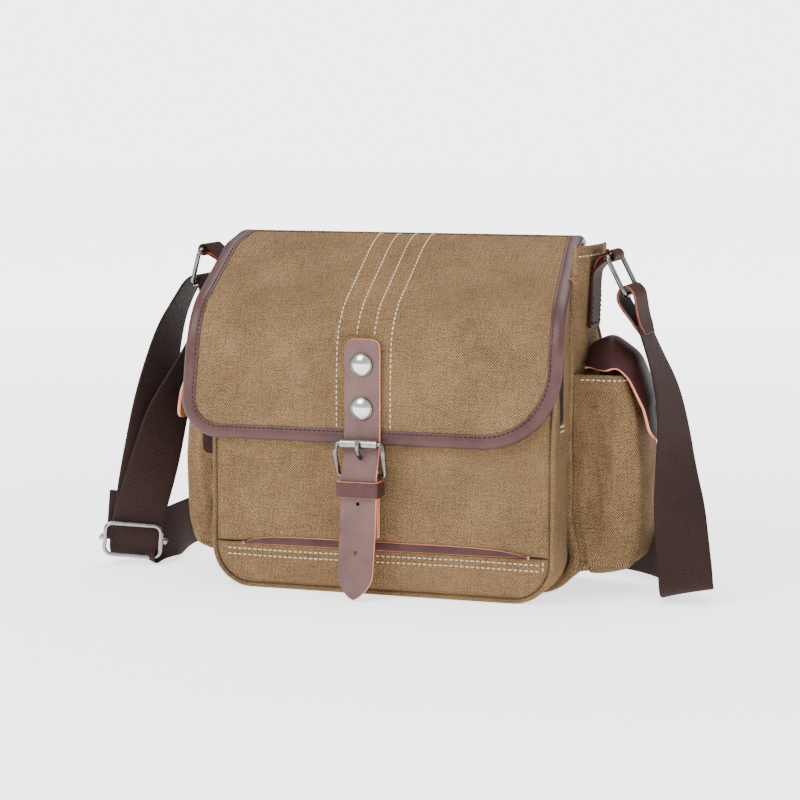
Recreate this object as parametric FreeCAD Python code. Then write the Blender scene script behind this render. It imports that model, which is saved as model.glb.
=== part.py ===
"""Canvas messenger bag with leather trim, built as separate sewn and metal pieces.

Units are millimetres. +X is the bag's right side seen from the front, +Y its back and +Z up.
The origin is on the floor under the middle of the bag's base. The flap is closed.
"""
import FreeCAD, Part
import math
import os

V = FreeCAD.Vector
os.makedirs("parts", exist_ok=True)

# Bag body
BODY_HALF = 135.0        # half the width over the main gusset
BODY_HIGH = 247.0        # top edge of the gusset
BODY_BACK = 55.0         # outer face of the back panel
SEAM_Y = -12.0           # seam between the main body and the front compartment
FRONT_Y = -55.0          # outer face of the front panel
WALL = 2.5               # canvas with its backing
CORNER = 30.0            # radius of the body's bottom corners
RIDGE = 3.0              # how far a piped seam stands out
RIDGE_DEEP = 3.6         # the front seam's piping, front to back
BACK_HIGH = 243.5        # top edge of the back panel, under the flap's root
BAND_TOP = 33.0          # seam between the front panel and its lower band

# Front compartment
FRONT_HALF = 125.0       # half the width of the front panel
FRONT_GUSSET_HALF = 128.0
FRONT_CORNER = 28.0
FRONT_WALL = 2.2
FRONT_PROFILE = [(FRONT_Y, 0, 0), (FRONT_Y, 150, 100), (-52.5, 190.5, 40), (-14.5, 214, 0)]
PANEL_TOP_Y = -45.0      # where the front panel ends and the zipped top strip begins
ZIP_Y = (-36.0, -31.0)   # the zip's slot
ZIP_LOW = 126.0          # both ends of the zip
ZIP_PROUD = 0.6
LINK_R = 0.9             # wire of the zip pull's link
PULL_X = -137.6          # the pull hangs a little away from the gusset, turned to the front
PULL_LOW = 93.4
PULL_TURN = 20.0
TRIM_ENDS = [(-103.5, 32.6), (110.5, 33.8)]
TRIM_TOP = 38.2
TRIM_THICK = 1.4

# Flap
FLAP_X = -8.0            # the flap hangs a little to the left
FLAP_PROFILE = [(55.5, 248.5, 0), (40, 253.5, 20), (18, 244.5, 60), (-57.5, 197.5, 48),
                (-60, 150, 100), (-60, 109, 0)]
FLAP_BACK_HALF = 129.0
FLAP_TOP_HALF = 137.0
FLAP_LOW_HALF = 141.5
FLAP_CORNER = 38.0
FLAP_THICK = 3.0
BIND_WIDE = 10.5
BIND_PROUD = 0.7
SHOULDER = (-53.4, 195.3)    # fold line of the flap, on the binding's outer face
SHOULDER_RUN = (-0.509, -0.861)
FOLD_GAP = 0.3
FLAP_CLEAR = 1.2

# Closure strap and buckle
STRAP_X = -10.0
STRAP_WIDE = 26.0
STRAP_THICK = 3.0
STRAP_PROFILE = [(-62.2, 184, 0), (-62.2, 121, 20), (-63.2, 107, 12), (-70.3, 87, 20),
                 (-72.6, 50, 40), (-79, 20, 40), (-83, 3, 0)]
RIVET_Z = (166.0, 135.0)
RIVET_R = 7.5
HOLE_Z = (68.4, 34.3)
HOLE_R = 1.4
WIRE_R = 1.75
ROLLER_AT = (-69.6, 110.6)
ROLLER_R = 3.2
ROLLER_LONG = 27.0
HEEL_AT = (-63.9, 87.0)
BUCKLE_HALF = 17.0       # buckle's side wires, centre to centre, halved
CHAPE_LOW = 42.0
CHAPE_THICK = 3.8
KEEPER_Z = (73.0, 84.0)
SNAP_Z = 55.0
SNAP_R = 8.5
PRONG = [(-64.5, 90.0), (-64.9, 98.8), (-71.6, 103.2), (-75.0, 108.0), (-74.5, 113.2)]
PRONG_BENDS = [0, 4, 5, 5, 0]
PRONG_R = 1.6
RUNNING = 0.05           # radial clearance of a pin in its hole

# Side pockets and their flaps (right side; the left one is shallower)
POCKET_Y = (-10.5, 48.0)
POCKET_WALL = 2.2
POCKET_PROFILE = [(0, 24, 0), (15, 18, 10), (36, 25, 14), (44, 44, 20), (46, 88, 60),
                  (41, 130, 60), (30, 158, 0), (0, 158, 0)]
LEFT_SCALE = 0.74        # depth of the left pocket over the right one
LEAF_Y = (-6.0, 40.0)
LEAF_THICK = 2.2
LEAF_PROFILE = {1: [(1.3, 170, 0), (3.4, 178, 5), (17, 185, 10), (35, 172, 20), (48, 140, 30),
                    (53.5, 113, 0)],
                -1: [(1.3, 170, 0), (3.4, 178, 5), (15, 184, 8), (28.5, 172, 14), (38, 141, 30),
                     (41, 114, 0)]}
CAP_R = 6.5

# Rings and their tabs: the left tab (-1) reaches round the flap's overhang, the right one (1) is shorter
RING_AT = {1: (151.0, 241.0), -1: (158.0, 240.0)}
RING_Y = 20.0
RING_HIGH = {1: 29.6, -1: 26.0}         # between the centres of the upper and lower bars
RING_WIDE = 43.5
RING_TILT = {1: 27.0, -1: 14.0}         # degrees outward
RING_BEND = 4.5
TAB_WIDE = 29.0
TAB_THICK = 3.0
TAB_PROFILE = {1: [(136.75, 190, 0), (136.75, 231, 5), (148.4, 240.4, 0)],
               -1: [(136.75, 190, 0), (136.75, 222, 6), (155, 238.6, 0)]}
LOOP_R = 5.4

# Shoulder strap: 38 mm webbing. Each route point has the turn of its width about the strap,
# given as the direction from the edge that lies low behind the bag to the edge that lies high.
WEB_WIDE = 38.0
WEB_THICK = 1.8
WEB_END_GAP = 1.4
END_PIECE = [(164.6, 213.8), (173.3, 192.3)]
ROUTE = [
    ((174.2, 19.6, 190.6), (0.00, 1.00, 0.00)),
    ((181.6, 17.0, 174.0), (0.05, 1.00, 0.00)),
    ((192.4, 11.7, 151.0), (0.23, 0.97, 0.00)),
    ((199.2, 4.7, 123.0), (0.37, 0.93, 0.00)),
    ((203.0, -3.0, 92.0), (0.60, 0.80, 0.00)),
    ((207.0, -9.6, 66.0), (0.87, 0.50, 0.00)),
    ((210.6, -16.0, 41.0), (0.95, 0.31, 0.03)),
    ((214.2, -22.0, 22.0), (0.97, 0.22, 0.12)),
    ((215.2, -23.5, 11.0), (0.97, 0.16, 0.12)),
    ((214.4, -15.0, 7.6), (0.97, 0.08, 0.24)),
    ((210.0, 4.0, 13.9), (0.84, 0.00, 0.54)),
    ((199.0, 32.0, 19.2), (0.36, 0.00, 0.93)),
    ((178.0, 68.0, 19.7), (0.00, 0.00, 1.00)),
    ((138.0, 98.0, 19.7), (0.00, 0.00, 1.00)),
    ((86.0, 116.0, 19.7), (0.00, 0.00, 1.00)),
    ((28.0, 126.0, 19.7), (0.00, 0.00, 1.00)),
    ((-32.0, 134.0, 19.7), (0.00, 0.00, 1.00)),
    ((-92.0, 144.0, 19.7), (0.00, 0.00, 1.00)),
    ((-146.0, 151.0, 19.7), (0.00, 0.00, 1.00)),
    ((-184.0, 146.0, 19.7), (0.00, 0.00, 1.00)),
    ((-203.0, 122.0, 19.7), (0.00, 0.00, 1.00)),
    ((-204.0, 86.0, 19.7), (0.00, 0.00, 1.00)),
    ((-200.0, 52.0, 19.9), (-0.20, 0.00, 0.98)),
    ((-201.4, 26.0, 18.2), (-0.60, 0.15, 0.78)),
    ((-207.4, 10.5, 12.6), (-0.82, 0.35, 0.45)),
    ((-212.8, 4.5, 7.0), (-0.93, 0.15, 0.11)),
    ((-214.8, -1.2, 6.8), (-0.95, -0.12, 0.10)),
    ((-215.0, -2.2, 16.0), (-0.94, -0.10, 0.10)),
    ((-211.6, -1.8, 31.0), (-0.95, -0.31, 0.08)),
    ((-206.6, -0.5, 50.0), (-0.89, -0.45, 0.00)),
    ((-200.0, 7.2, 79.0), (-0.79, -0.62, 0.00)),
    ((-192.4, 12.1, 113.0), (-0.60, -0.80, 0.00)),
    ((-181.4, 16.5, 144.0), (-0.20, -0.98, 0.00)),
    ((-168.4, 18.5, 172.0), (0.00, -1.00, 0.00)),
    ((-158.6, 20.0, 194.0), (0.00, -1.00, 0.00)),
    ((-159.4, 20.0, 212.0), (0.00, -1.00, 0.00)),
    ((-162.6, 20.0, 221.4), (0.00, -1.00, 0.00)),
    ((-171.0, 20.0, 218.0), (0.00, -1.00, 0.00)),
    ((-180.6, 19.7, 203.0), (0.00, -1.00, 0.00)),
    ((-190.2, 18.5, 183.0), (-0.15, -0.98, 0.00)),
    ((-196.8, 16.6, 157.0), (-0.32, -0.94, 0.00)),
    ((-202.8, 13.4, 124.0), (-0.54, -0.84, 0.00)),
    ((-206.4, 9.6, 90.0), (-0.72, -0.69, 0.00)),
    ((-210.0, 5.4, 58.0), (-0.88, -0.47, 0.00)),
    ((-212.4, 2.6, 34.0), (-0.95, -0.31, 0.05)),
    ((-213.6, 2.2, 20.0), (-0.95, -0.31, 0.08)),
]

# Strap slider at the strap's low left end
SLIDER_AT = (-213.4, -6.4, 19.2)
SLIDER_ALONG = (0.951, 0.308, -0.08)
SLIDER_LONG = 42.2
SLIDER_HIGH = 24.0
SLIDER_WIRE = 1.6
SLIDER_BEND = 5.5
BAR_BACK = 10.6          # how far the centre bar lies behind the frame
BAR_R = 1.5
TAIL_LONG = 35.0

BIG = 700.0


def unit(vector):
    """The vector at length one."""
    return V(vector).normalize()


def smooth(points, radii, closed=False):
    """Straight runs joined by tangent arcs, one radius per corner."""
    count = len(points)
    starts, ends, edges = list(points), list(points), []
    for i in range(count):
        if radii[i] <= 0 or (not closed and i in (0, count - 1)):
            continue
        here = points[i]
        back = unit(points[i - 1] - here)
        ahead = unit(points[(i + 1) % count] - here)
        half = back.getAngle(ahead) / 2
        reach = radii[i] / math.tan(half)
        starts[i], ends[i] = here + back * reach, here + ahead * reach
        middle = here + unit(back + ahead) * (radii[i] / math.sin(half) - radii[i])
        edges.append((i, Part.Arc(starts[i], middle, ends[i]).toShape()))
    arcs = dict(edges)
    runs = []
    for i in range(count if closed else count - 1):
        nxt = (i + 1) % count
        if i in arcs:
            runs.append(arcs[i])
        if (ends[i] - starts[nxt]).Length > 1e-6:
            runs.append(Part.LineSegment(ends[i], starts[nxt]).toShape())
    return Part.Wire(runs)


def offset_line(profile, distance):
    """A polyline of (u, v, radius) moved to the left of its direction by a distance."""
    moved = []
    for i, (u, v, radius) in enumerate(profile):
        before = profile[max(i - 1, 0)]
        after = profile[min(i + 1, len(profile) - 1)]
        first = unit(V(u - before[0], v - before[1], 0)) if i else None
        last = unit(V(after[0] - u, after[1] - v, 0)) if i < len(profile) - 1 else None
        first, last = first or last, last or first
        normal = unit(V(-first.y - last.y, first.x + last.x, 0))
        stretch = distance / math.cos(first.getAngle(last) / 2)
        turn = 1 if first.cross(last).z > 0 else -1
        new_radius = radius - distance * turn if radius else 0
        moved.append((u + normal.x * stretch, v + normal.y * stretch, new_radius))
    return moved


def band(profile, near, far, low, high, plane):
    """A strip between two offsets of a profile, extruded from low to high across its plane."""
    outline = offset_line(profile, near) + offset_line(profile, far)[::-1]
    return prism(outline, low, high, plane)


def prism(outline, low, high, plane):
    """An outline of (u, v, radius) corners in plane 'yz', 'xz' or 'xy', extruded along the rest."""
    place = {"yz": lambda u, v: V(low, u, v), "xz": lambda u, v: V(u, low, v),
             "xy": lambda u, v: V(u, v, low)}[plane]
    along = {"yz": V(1, 0, 0), "xz": V(0, 1, 0), "xy": V(0, 0, 1)}[plane]
    wire = smooth([place(u, v) for u, v, _ in outline], [r for _, _, r in outline], closed=True)
    return Part.Face(wire).extrude(along * (high - low))


def box(x, y, z):
    """A box from three (low, high) pairs."""
    return Part.makeBox(x[1] - x[0], y[1] - y[0], z[1] - z[0], V(x[0], y[0], z[0]))


def upright(half, low, high, radius, y_range):
    """A block with the bag's front outline: round bottom corners, square top."""
    outline = [(-half, high, 0), (-half, low, radius), (half, low, radius), (half, high, 0)]
    return prism(outline, y_range[0], y_range[1], "xz")


def beyond(point, direction):
    """A block that fills the side of a plane that the direction points to."""
    block = Part.makeBox(BIG, BIG, BIG, V(-BIG / 2, -BIG / 2, 0))
    block.Placement = FreeCAD.Placement(V(*point), FreeCAD.Rotation(V(0, 0, 1), V(*direction)))
    return block


def rod(start, end, radius):
    """A round bar between two points."""
    axis = V(*end) - V(*start)
    return Part.makeCylinder(radius, axis.Length, V(*start), axis)


def pipe(points, bends, radius, closed=False):
    """A round wire along straight runs and tangent arcs."""
    path = smooth(points, bends, closed)
    if closed:
        start = (points[0] + points[-1]) * 0.5
        halves = [start] + list(points) + [start]
        path = smooth(halves, [0] + list(bends) + [0])
    first = path.Edges[0]
    ahead = first.tangentAt(first.FirstParameter)
    section = Part.Wire(Part.makeCircle(radius, first.valueAt(first.FirstParameter), ahead))
    return path.makePipeShell([section], True, True)


def mirrored(shape):
    """The same shape on the bag's other side."""
    return shape.mirror(V(0, 0, 0), V(1, 0, 0))


def save(name, shape):
    """Write one piece and say what it is."""
    shape.exportStep(f"parts/{name}.step")
    size = shape.BoundBox
    print(f"{name:24s} solids {len(shape.Solids)} valid {shape.isValid()} volume {shape.Volume:9.0f}"
          f"  x {size.XMin:.0f}..{size.XMax:.0f} y {size.YMin:.0f}..{size.YMax:.0f}"
          f" z {size.ZMin:.1f}..{size.ZMax:.1f}")


def space_over_flap():
    """Everything above the flap's inner face, less a little room, where the flap lies."""
    depth = FLAP_THICK + BIND_PROUD + FLAP_CLEAR
    return band(FLAP_PROFILE, depth, -60, -160, FLAP_X + FLAP_TOP_HALF + 1.5, "yz")


def make_body():
    """Back panel, gusset, front wall, lining, base board and the piped seams."""
    lid = space_over_flap()
    inner = BODY_HALF - WALL
    gusset = upright(BODY_HALF, 0, BODY_HIGH, CORNER, (SEAM_Y, BODY_BACK - WALL))
    gusset = gusset.cut(upright(inner, WALL, BIG, CORNER - WALL, (-BIG, BIG))).cut(lid)
    save("main_gusset", gusset)
    save("back_panel", upright(BODY_HALF, 0, BACK_HIGH, CORNER, (BODY_BACK - WALL, BODY_BACK)))

    gap = 0.1
    wall = upright(FRONT_GUSSET_HALF - gap, WALL, BIG, CORNER - WALL, (SEAM_Y - WALL + gap, SEAM_Y))
    wall_top = FRONT_PROFILE[-1][1]
    save("main_front_wall", wall.common(box((-BIG, BIG), (-BIG, BIG), (0, wall_top))))

    skin = 0.7
    depth = (SEAM_Y + gap, BODY_BACK - WALL - gap)
    lining = upright(inner - gap, WALL + gap, BODY_HIGH - 3, CORNER - WALL - gap, depth)
    hollow = upright(inner - gap - skin, WALL + gap + skin, BIG, CORNER - WALL - gap - skin,
                     (depth[0] + skin, depth[1] - skin))
    save("lining", lining.cut(hollow).cut(lid))

    board_half = BODY_HALF - CORNER
    board_low = WALL + gap + skin + gap
    save("base_board", box((-board_half, board_half), (depth[0] + 3, depth[1] - 3),
                           (board_low, board_low + 2.4)))

    outer = BODY_HALF + RIDGE
    ridge = upright(outer, 0, BODY_HIGH - 2, CORNER + RIDGE, (SEAM_Y - RIDGE_DEEP, SEAM_Y))
    ridge = ridge.cut(upright(FRONT_GUSSET_HALF, WALL, BIG, CORNER - WALL, (-BIG, BIG)))
    save("front_seam_ridge", ridge.cut(lid))
    strips = [box(span, (BODY_BACK - 5.5, BODY_BACK - 1.5), (CORNER, BACK_HIGH))
              for span in ((BODY_HALF, BODY_HALF + 2.4), (-BODY_HALF - 2.4, -BODY_HALF))]
    save("back_seam_ridge", Part.makeCompound(strips))


def make_front_compartment():
    """Front panel, lower band, zipped gusset, the zip and the leather trim."""
    shell = band(FRONT_PROFILE, -FRONT_WALL, 0, -BIG / 2, BIG / 2, "yz")
    face = shell.common(upright(FRONT_HALF, 0, BIG, FRONT_CORNER, (-BIG, BIG)))
    lower = box((-BIG, BIG), (-BIG, BIG), (-1, BAND_TOP - 0.1))
    upper = box((-BIG, BIG), (-BIG, PANEL_TOP_Y), (BAND_TOP + 0.1, BIG))
    snap_hole = rod((STRAP_X, FRONT_Y - 1, SNAP_Z), (STRAP_X, FRONT_Y + 9, SNAP_Z), 2.0)
    save("front_lower_band", face.common(lower))
    save("front_panel", face.common(upper).cut(snap_hole))

    rear = SEAM_Y - WALL
    under = prism(offset_line(FRONT_PROFILE, -FRONT_WALL)
                  + [(rear, -5, 0), (FRONT_Y + FRONT_WALL, -5, 0)], -BIG / 2, BIG / 2, "yz")
    tube = upright(FRONT_GUSSET_HALF, 0, BIG, CORNER, (FRONT_Y + FRONT_WALL, SEAM_Y - RIDGE_DEEP))
    tube = tube.cut(upright(FRONT_GUSSET_HALF - 2.4, 2.4, BIG, CORNER - 2.4, (-BIG, BIG)))
    slot = box((-BIG, BIG), ZIP_Y, (ZIP_LOW, BIG))
    save("front_gusset", tube.common(under).cut(slot))

    strip = shell.common(box((-FRONT_GUSSET_HALF, FRONT_GUSSET_HALF), (PANEL_TOP_Y + 0.1, rear),
                             (100, BIG)))
    save("front_top_strip", strip.cut(slot))

    side_gap = 0.1
    lane = (ZIP_Y[0] + side_gap, ZIP_Y[1] - side_gap)
    outside = FRONT_GUSSET_HALF + ZIP_PROUD
    over = prism(offset_line(FRONT_PROFILE, ZIP_PROUD)
                 + [(rear, -5, 0), (FRONT_Y + FRONT_WALL, -5, 0)], -BIG / 2, BIG / 2, "yz")
    legs = upright(outside, 0, BIG, CORNER, lane)
    legs = legs.cut(upright(FRONT_GUSSET_HALF - 2.2, 0, BIG, CORNER, (-BIG, BIG))).common(over)
    legs = legs.common(box((-BIG, BIG), (-BIG, BIG), (ZIP_LOW, BIG)))
    across = band(FRONT_PROFILE, -FRONT_WALL, ZIP_PROUD, -outside, outside, "yz")
    across = across.common(box((-BIG, BIG), lane, (100, BIG)))
    save("zip_coil", legs.fuse(across).removeSplitter())

    face_y = FRONT_Y - TRIM_THICK
    left, right = (V(x, face_y, z) for x, z in TRIM_ENDS)
    top = V(0, face_y, TRIM_TOP)
    edge = [Part.Arc(left, top, right).toShape(), Part.LineSegment(right, left).toShape()]
    save("front_trim", Part.Face(Part.Wire(edge)).extrude(V(0, TRIM_THICK, 0)))

    stud = rod((STRAP_X, FRONT_Y + 3.5, SNAP_Z), (STRAP_X, FRONT_Y, SNAP_Z), 1.9)
    plate = rod((STRAP_X, FRONT_Y, SNAP_Z), (STRAP_X, FRONT_Y - 2.0, SNAP_Z), SNAP_R)
    save("snap_base", plate.fuse(stud))


def make_zip_slider():
    """Zip slider at the zip's left end, its wire link and the leather pull."""
    x = -(FRONT_GUSSET_HALF + ZIP_PROUD)
    y = sum(ZIP_Y) / 2
    z = ZIP_LOW + 5.5
    body = box((x - 2.6, x - 0.1), (y - 4.2, y + 4.2), (z - 5.5, z + 5.5))
    bridge = box((x - 5.6, x - 2.6), (y - 1.4, y + 1.4), (z - 4.5, z + 4.5))
    eye = V(x - 4.2, y, z - 1.6)
    bore = rod(eye - V(0, 5, 0), eye + V(0, 5, 0), LINK_R + RUNNING)
    save("zip_slider", body.fuse(bridge).cut(bore))

    half = 2.8
    low = V(PULL_X, y, eye.z - 11)
    corners = [eye + V(0, half, 0), low + V(0, half, 0), low - V(0, half, 0), eye - V(0, half, 0)]
    save("zip_link", pipe(corners, [LINK_R] * 4, LINK_R, closed=True))

    wide, thick = 5.5, 1.6
    outline = [(-wide, low.z + 2.4, 2.0), (-wide, PULL_LOW, 5.2), (wide, PULL_LOW, 5.2),
               (wide, low.z + 2.4, 2.0)]
    leather = prism(outline, -thick, thick, "xz")
    leather.rotate(V(0, 0, 0), V(0, 0, 1), PULL_TURN)
    leather.translate(V(low.x, low.y, 0))
    room = LINK_R + 0.4
    notch = box((low.x - 3, low.x + 3), (low.y - half - room, low.y + half + room),
                (low.z - room, low.z + 9))
    save("zip_pull", leather.cut(notch))


def flap_front_outline(inset):
    """The flap's front outline, moved in by an inset on its three open sides."""
    rows = ((FLAP_TOP_HALF, 232), (FLAP_LOW_HALF, 150))
    left = [(FLAP_X - half + inset, z, 0) for half, z in rows]
    right = [(FLAP_X + half - inset, z, 0) for half, z in rows[::-1]]
    low = FLAP_PROFILE[-1][1] + inset
    radius = FLAP_CORNER - inset
    half = FLAP_LOW_HALF - inset
    return left + [(FLAP_X - half, low, radius), (FLAP_X + half, low, radius)] + right


def flap_top_outline(inset):
    """The flap's plan outline from the back seam to the shoulder."""
    shoulder_half = FLAP_TOP_HALF + (232 - SHOULDER[1]) / (232 - 150) * (FLAP_LOW_HALF - FLAP_TOP_HALF)
    rows = ((FLAP_BACK_HALF, 57), (FLAP_TOP_HALF, 10), (shoulder_half, SHOULDER[0]),
            (shoulder_half, SHOULDER[0] - 20))
    left = [(FLAP_X - half + inset, y, 0) for half, y in rows]
    right = [(FLAP_X + half - inset, y, 0) for half, y in rows[::-1]]
    return left + right


def make_flap():
    """Flap in two panels that fold at the shoulder, each with its leather binding."""
    canvas = band(FLAP_PROFILE, 0, FLAP_THICK, -BIG / 2, BIG / 2, "yz")
    thick = band(FLAP_PROFILE, -BIND_PROUD, FLAP_THICK + BIND_PROUD, -BIG / 2, BIG / 2, "yz")
    run = V(0, *SHOULDER_RUN)
    fold = V(0, *SHOULDER)
    front_half = beyond(fold + run * FOLD_GAP, run)
    top_half = beyond(fold - run * FOLD_GAP, run * -1)
    pieces = (("top", flap_top_outline, "xy", (90, 300), top_half),
              ("front", flap_front_outline, "xz", (-90, 60), front_half))
    for name, outline, plane, span, side in pieces:
        whole = prism(outline(0), span[0], span[1], plane)
        middle = prism(outline(BIND_WIDE), span[0], span[1], plane)
        save(f"flap_{name}_panel", canvas.common(middle).common(side))
        save(f"flap_{name}_binding", thick.common(whole).cut(middle).common(side))


def across(half, radius, at):
    """A round bar along X at a (y, z) place, centred on the closure strap."""
    return rod((STRAP_X - half, *at), (STRAP_X + half, *at), radius)


def make_closure():
    """Leather closure strap, rivets, chape, keeper, roller buckle and the snap's upper half."""
    half = STRAP_WIDE / 2
    low = STRAP_PROFILE[-1][1]
    leather = band(STRAP_PROFILE, -STRAP_THICK / 2, STRAP_THICK / 2, STRAP_X - half, STRAP_X + half, "yz")
    outline = [(STRAP_X - half, 190, 0), (STRAP_X - half, low + 17, 30), (STRAP_X, low - 4, 3),
               (STRAP_X + half, low + 17, 30), (STRAP_X + half, 190, 0)]
    top = [(STRAP_X - half, 184, 7), (STRAP_X - half, 60, 0), (STRAP_X + half, 60, 0),
           (STRAP_X + half, 184, 7)]
    leather = leather.common(prism(outline, -200, 0, "xz"))
    leather = leather.common(prism(top, -200, 0, "xz").fuse(box((-BIG, BIG), (-BIG, BIG), (-5, 61))))
    for z in HOLE_Z:
        leather = leather.cut(rod((STRAP_X, -95, z), (STRAP_X, -50, z), HOLE_R))
    slot = box((STRAP_X - 2.6, STRAP_X + 2.6), (-95, -50), (92.5, 107))
    save("closure_strap", leather.cut(slot))

    face = STRAP_PROFILE[0][0] - STRAP_THICK / 2
    rivets = []
    for z in RIVET_Z:
        rim = rod((STRAP_X, face, z), (STRAP_X, face - 1.0, z), RIVET_R)
        ball = (RIVET_R ** 2 + 2.4 ** 2) / (2 * 2.4)
        dome = Part.makeSphere(ball, V(STRAP_X, face - 1.0 - 2.2 + ball, z))
        cap = dome.common(box((-BIG, BIG), (-BIG, face - 1.0), (-BIG, BIG)))
        rivets.append(rim.fuse(cap).removeSplitter())
    save("closure_rivets", Part.makeCompound(rivets))

    loop_r = WIRE_R + 2.1
    chape_half = half - 1.0
    back = HEEL_AT[0] + loop_r
    chape = box((STRAP_X - chape_half, STRAP_X + chape_half), (back - CHAPE_THICK, back),
                (CHAPE_LOW, HEEL_AT[1]))
    chape = chape.fuse(across(chape_half, loop_r, HEEL_AT)).cut(across(60, WIRE_R + RUNNING, HEEL_AT))
    prong_slot = box((STRAP_X - 2.8, STRAP_X + 2.8), (-90, -40), (HEEL_AT[1] - 6, HEEL_AT[1] + 8))
    save("buckle_chape", chape.cut(prong_slot))

    snap_face = FRONT_Y - 2.4
    save("snap_cup", rod((STRAP_X, back, SNAP_Z), (STRAP_X, snap_face, SNAP_Z), SNAP_R))

    keep = half + 1.0
    outer = box((STRAP_X - keep - 1.6, STRAP_X + keep + 1.6), (-76.2, back + 1.9), KEEPER_Z)
    hollow = box((STRAP_X - keep, STRAP_X + keep), (-74.6, back + 0.3), (0, 200))
    save("strap_keeper", outer.cut(hollow))

    side = BUCKLE_HALF
    ring = [V(STRAP_X - side, *ROLLER_AT), V(STRAP_X - side - 1, -70.6, 104), V(STRAP_X - side, *HEEL_AT),
            V(STRAP_X + side, *HEEL_AT), V(STRAP_X + side + 1, -70.6, 104), V(STRAP_X + side, *ROLLER_AT)]
    save("buckle_frame", pipe(ring, [2.6, 9, 2.6, 2.6, 9, 2.6], WIRE_R, closed=True))

    sleeve = across(ROLLER_LONG / 2, ROLLER_R, ROLLER_AT).cut(across(60, WIRE_R + RUNNING, ROLLER_AT))
    save("buckle_roller", sleeve)

    eye = across(2.1, WIRE_R + 1.7, HEEL_AT).cut(across(60, WIRE_R + RUNNING, HEEL_AT))
    tongue = pipe([V(STRAP_X, y, z) for y, z in PRONG], PRONG_BENDS, PRONG_R)
    save("buckle_prong", eye.fuse(tongue).cut(across(60, WIRE_R + RUNNING, HEEL_AT)))


def leaf_frame(side):
    """Place and outward direction of the snap on one pocket flap."""
    profile = LEAF_PROFILE[side]
    (u0, v0, _), (u1, v1, _) = profile[-2], profile[-1]
    run = unit(V(u1 - u0, 0, v1 - v0))
    centre = V(BODY_HALF + u0, 0, v0) + run * 9.5
    centre.y = sum(LEAF_Y) / 2 + 2
    return centre, V(-run.z, 0, run.x)


def make_side_pocket(side):
    """One bellows pocket with its stud, leather flap and snap cap."""
    name = "right" if side > 0 else "left"
    scale = 1.0 if side > 0 else LEFT_SCALE
    profile = [(BODY_HALF + u * scale, v, r * scale) for u, v, r in POCKET_PROFILE]
    skin = offset_line(profile[:-1], POCKET_WALL)
    rear, over = BODY_HALF - 5, 200
    inside = [(rear, skin[0][1], 0)] + skin + [(skin[-1][0], over, 0), (rear, over, 0)]
    pocket = prism(profile, *POCKET_Y, "xz")
    pocket = pocket.cut(prism(inside, POCKET_Y[0] + POCKET_WALL, POCKET_Y[1] - POCKET_WALL, "xz"))

    centre, out = leaf_frame(side)
    leather = band(LEAF_PROFILE[side], -LEAF_THICK / 2, LEAF_THICK / 2, *LEAF_Y, "xz")
    leather.translate(V(BODY_HALF, 0, 0))
    low = LEAF_PROFILE[side][-1][1]
    end = [(LEAF_Y[0], 300, 0), (LEAF_Y[0], low - 1, 14), (LEAF_Y[1], low - 1, 14), (LEAF_Y[1], 300, 0)]
    leather = leather.common(prism(end, 0, 400, "yz"))

    cap_face = centre + out * (LEAF_THICK / 2)
    cap = Part.makeCylinder(CAP_R, 1.6, cap_face, out)
    socket_face = centre - out * (LEAF_THICK / 2)
    socket = Part.makeCylinder(4.5, 1.2, socket_face, out * -1)
    post = Part.makeCylinder(1.5, LEAF_THICK, socket_face, out)
    leather = leather.cut(post)
    cap = cap.fuse(post).fuse(socket).removeSplitter()

    stud_long = 12.0
    stud = Part.makeCylinder(4.0, stud_long, socket_face - out * (1.2 + 0.3 + stud_long), out)
    stud = stud.cut(prism(profile, -BIG, BIG, "xz"))
    pieces = ((f"side_pocket_{name}", pocket), (f"pocket_stud_{name}", stud),
              (f"pocket_flap_{name}", leather), (f"pocket_cap_{name}", cap))
    for title, shape in pieces:
        save(title, shape if side > 0 else mirrored(shape))


def make_ring(side):
    """One leather tab with its rectangular wire ring."""
    name = "right" if side > 0 else "left"
    y_range = (RING_Y - TAB_WIDE / 2, RING_Y + TAB_WIDE / 2)
    tab = band(TAB_PROFILE[side], -TAB_THICK / 2, TAB_THICK / 2, *y_range, "xz")
    (x, z), high = RING_AT[side], RING_HIGH[side]
    tab = tab.fuse(rod((x, y_range[0], z), (x, y_range[1], z), LOOP_R)).removeSplitter()
    tab = tab.cut(rod((x, -99, z), (x, 99, z), WIRE_R + RUNNING))

    half = RING_WIDE / 2
    corners = [V(x, RING_Y - half, z), V(x, RING_Y - half, z - high),
               V(x, RING_Y + half, z - high), V(x, RING_Y + half, z)]
    ring = pipe(corners, [RING_BEND] * 4, WIRE_R, closed=True)
    ring.rotate(V(x, 0, z), V(0, 1, 0), -RING_TILT[side])
    for title, shape in ((f"ring_tab_{name}", tab), (f"ring_{name}", ring)):
        save(title, shape if side > 0 else mirrored(shape))


def route_radii(points):
    """The radius of each corner of the strap's route, from its two runs and its turn."""
    radii = [0.0]
    for before, here, after in zip(points, points[1:], points[2:]):
        first, last = here - before, after - here
        turn = first.getAngle(last)
        radii.append(0.45 * min(first.Length, last.Length) / math.tan(turn / 2))
    return radii + [0.0]


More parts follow.
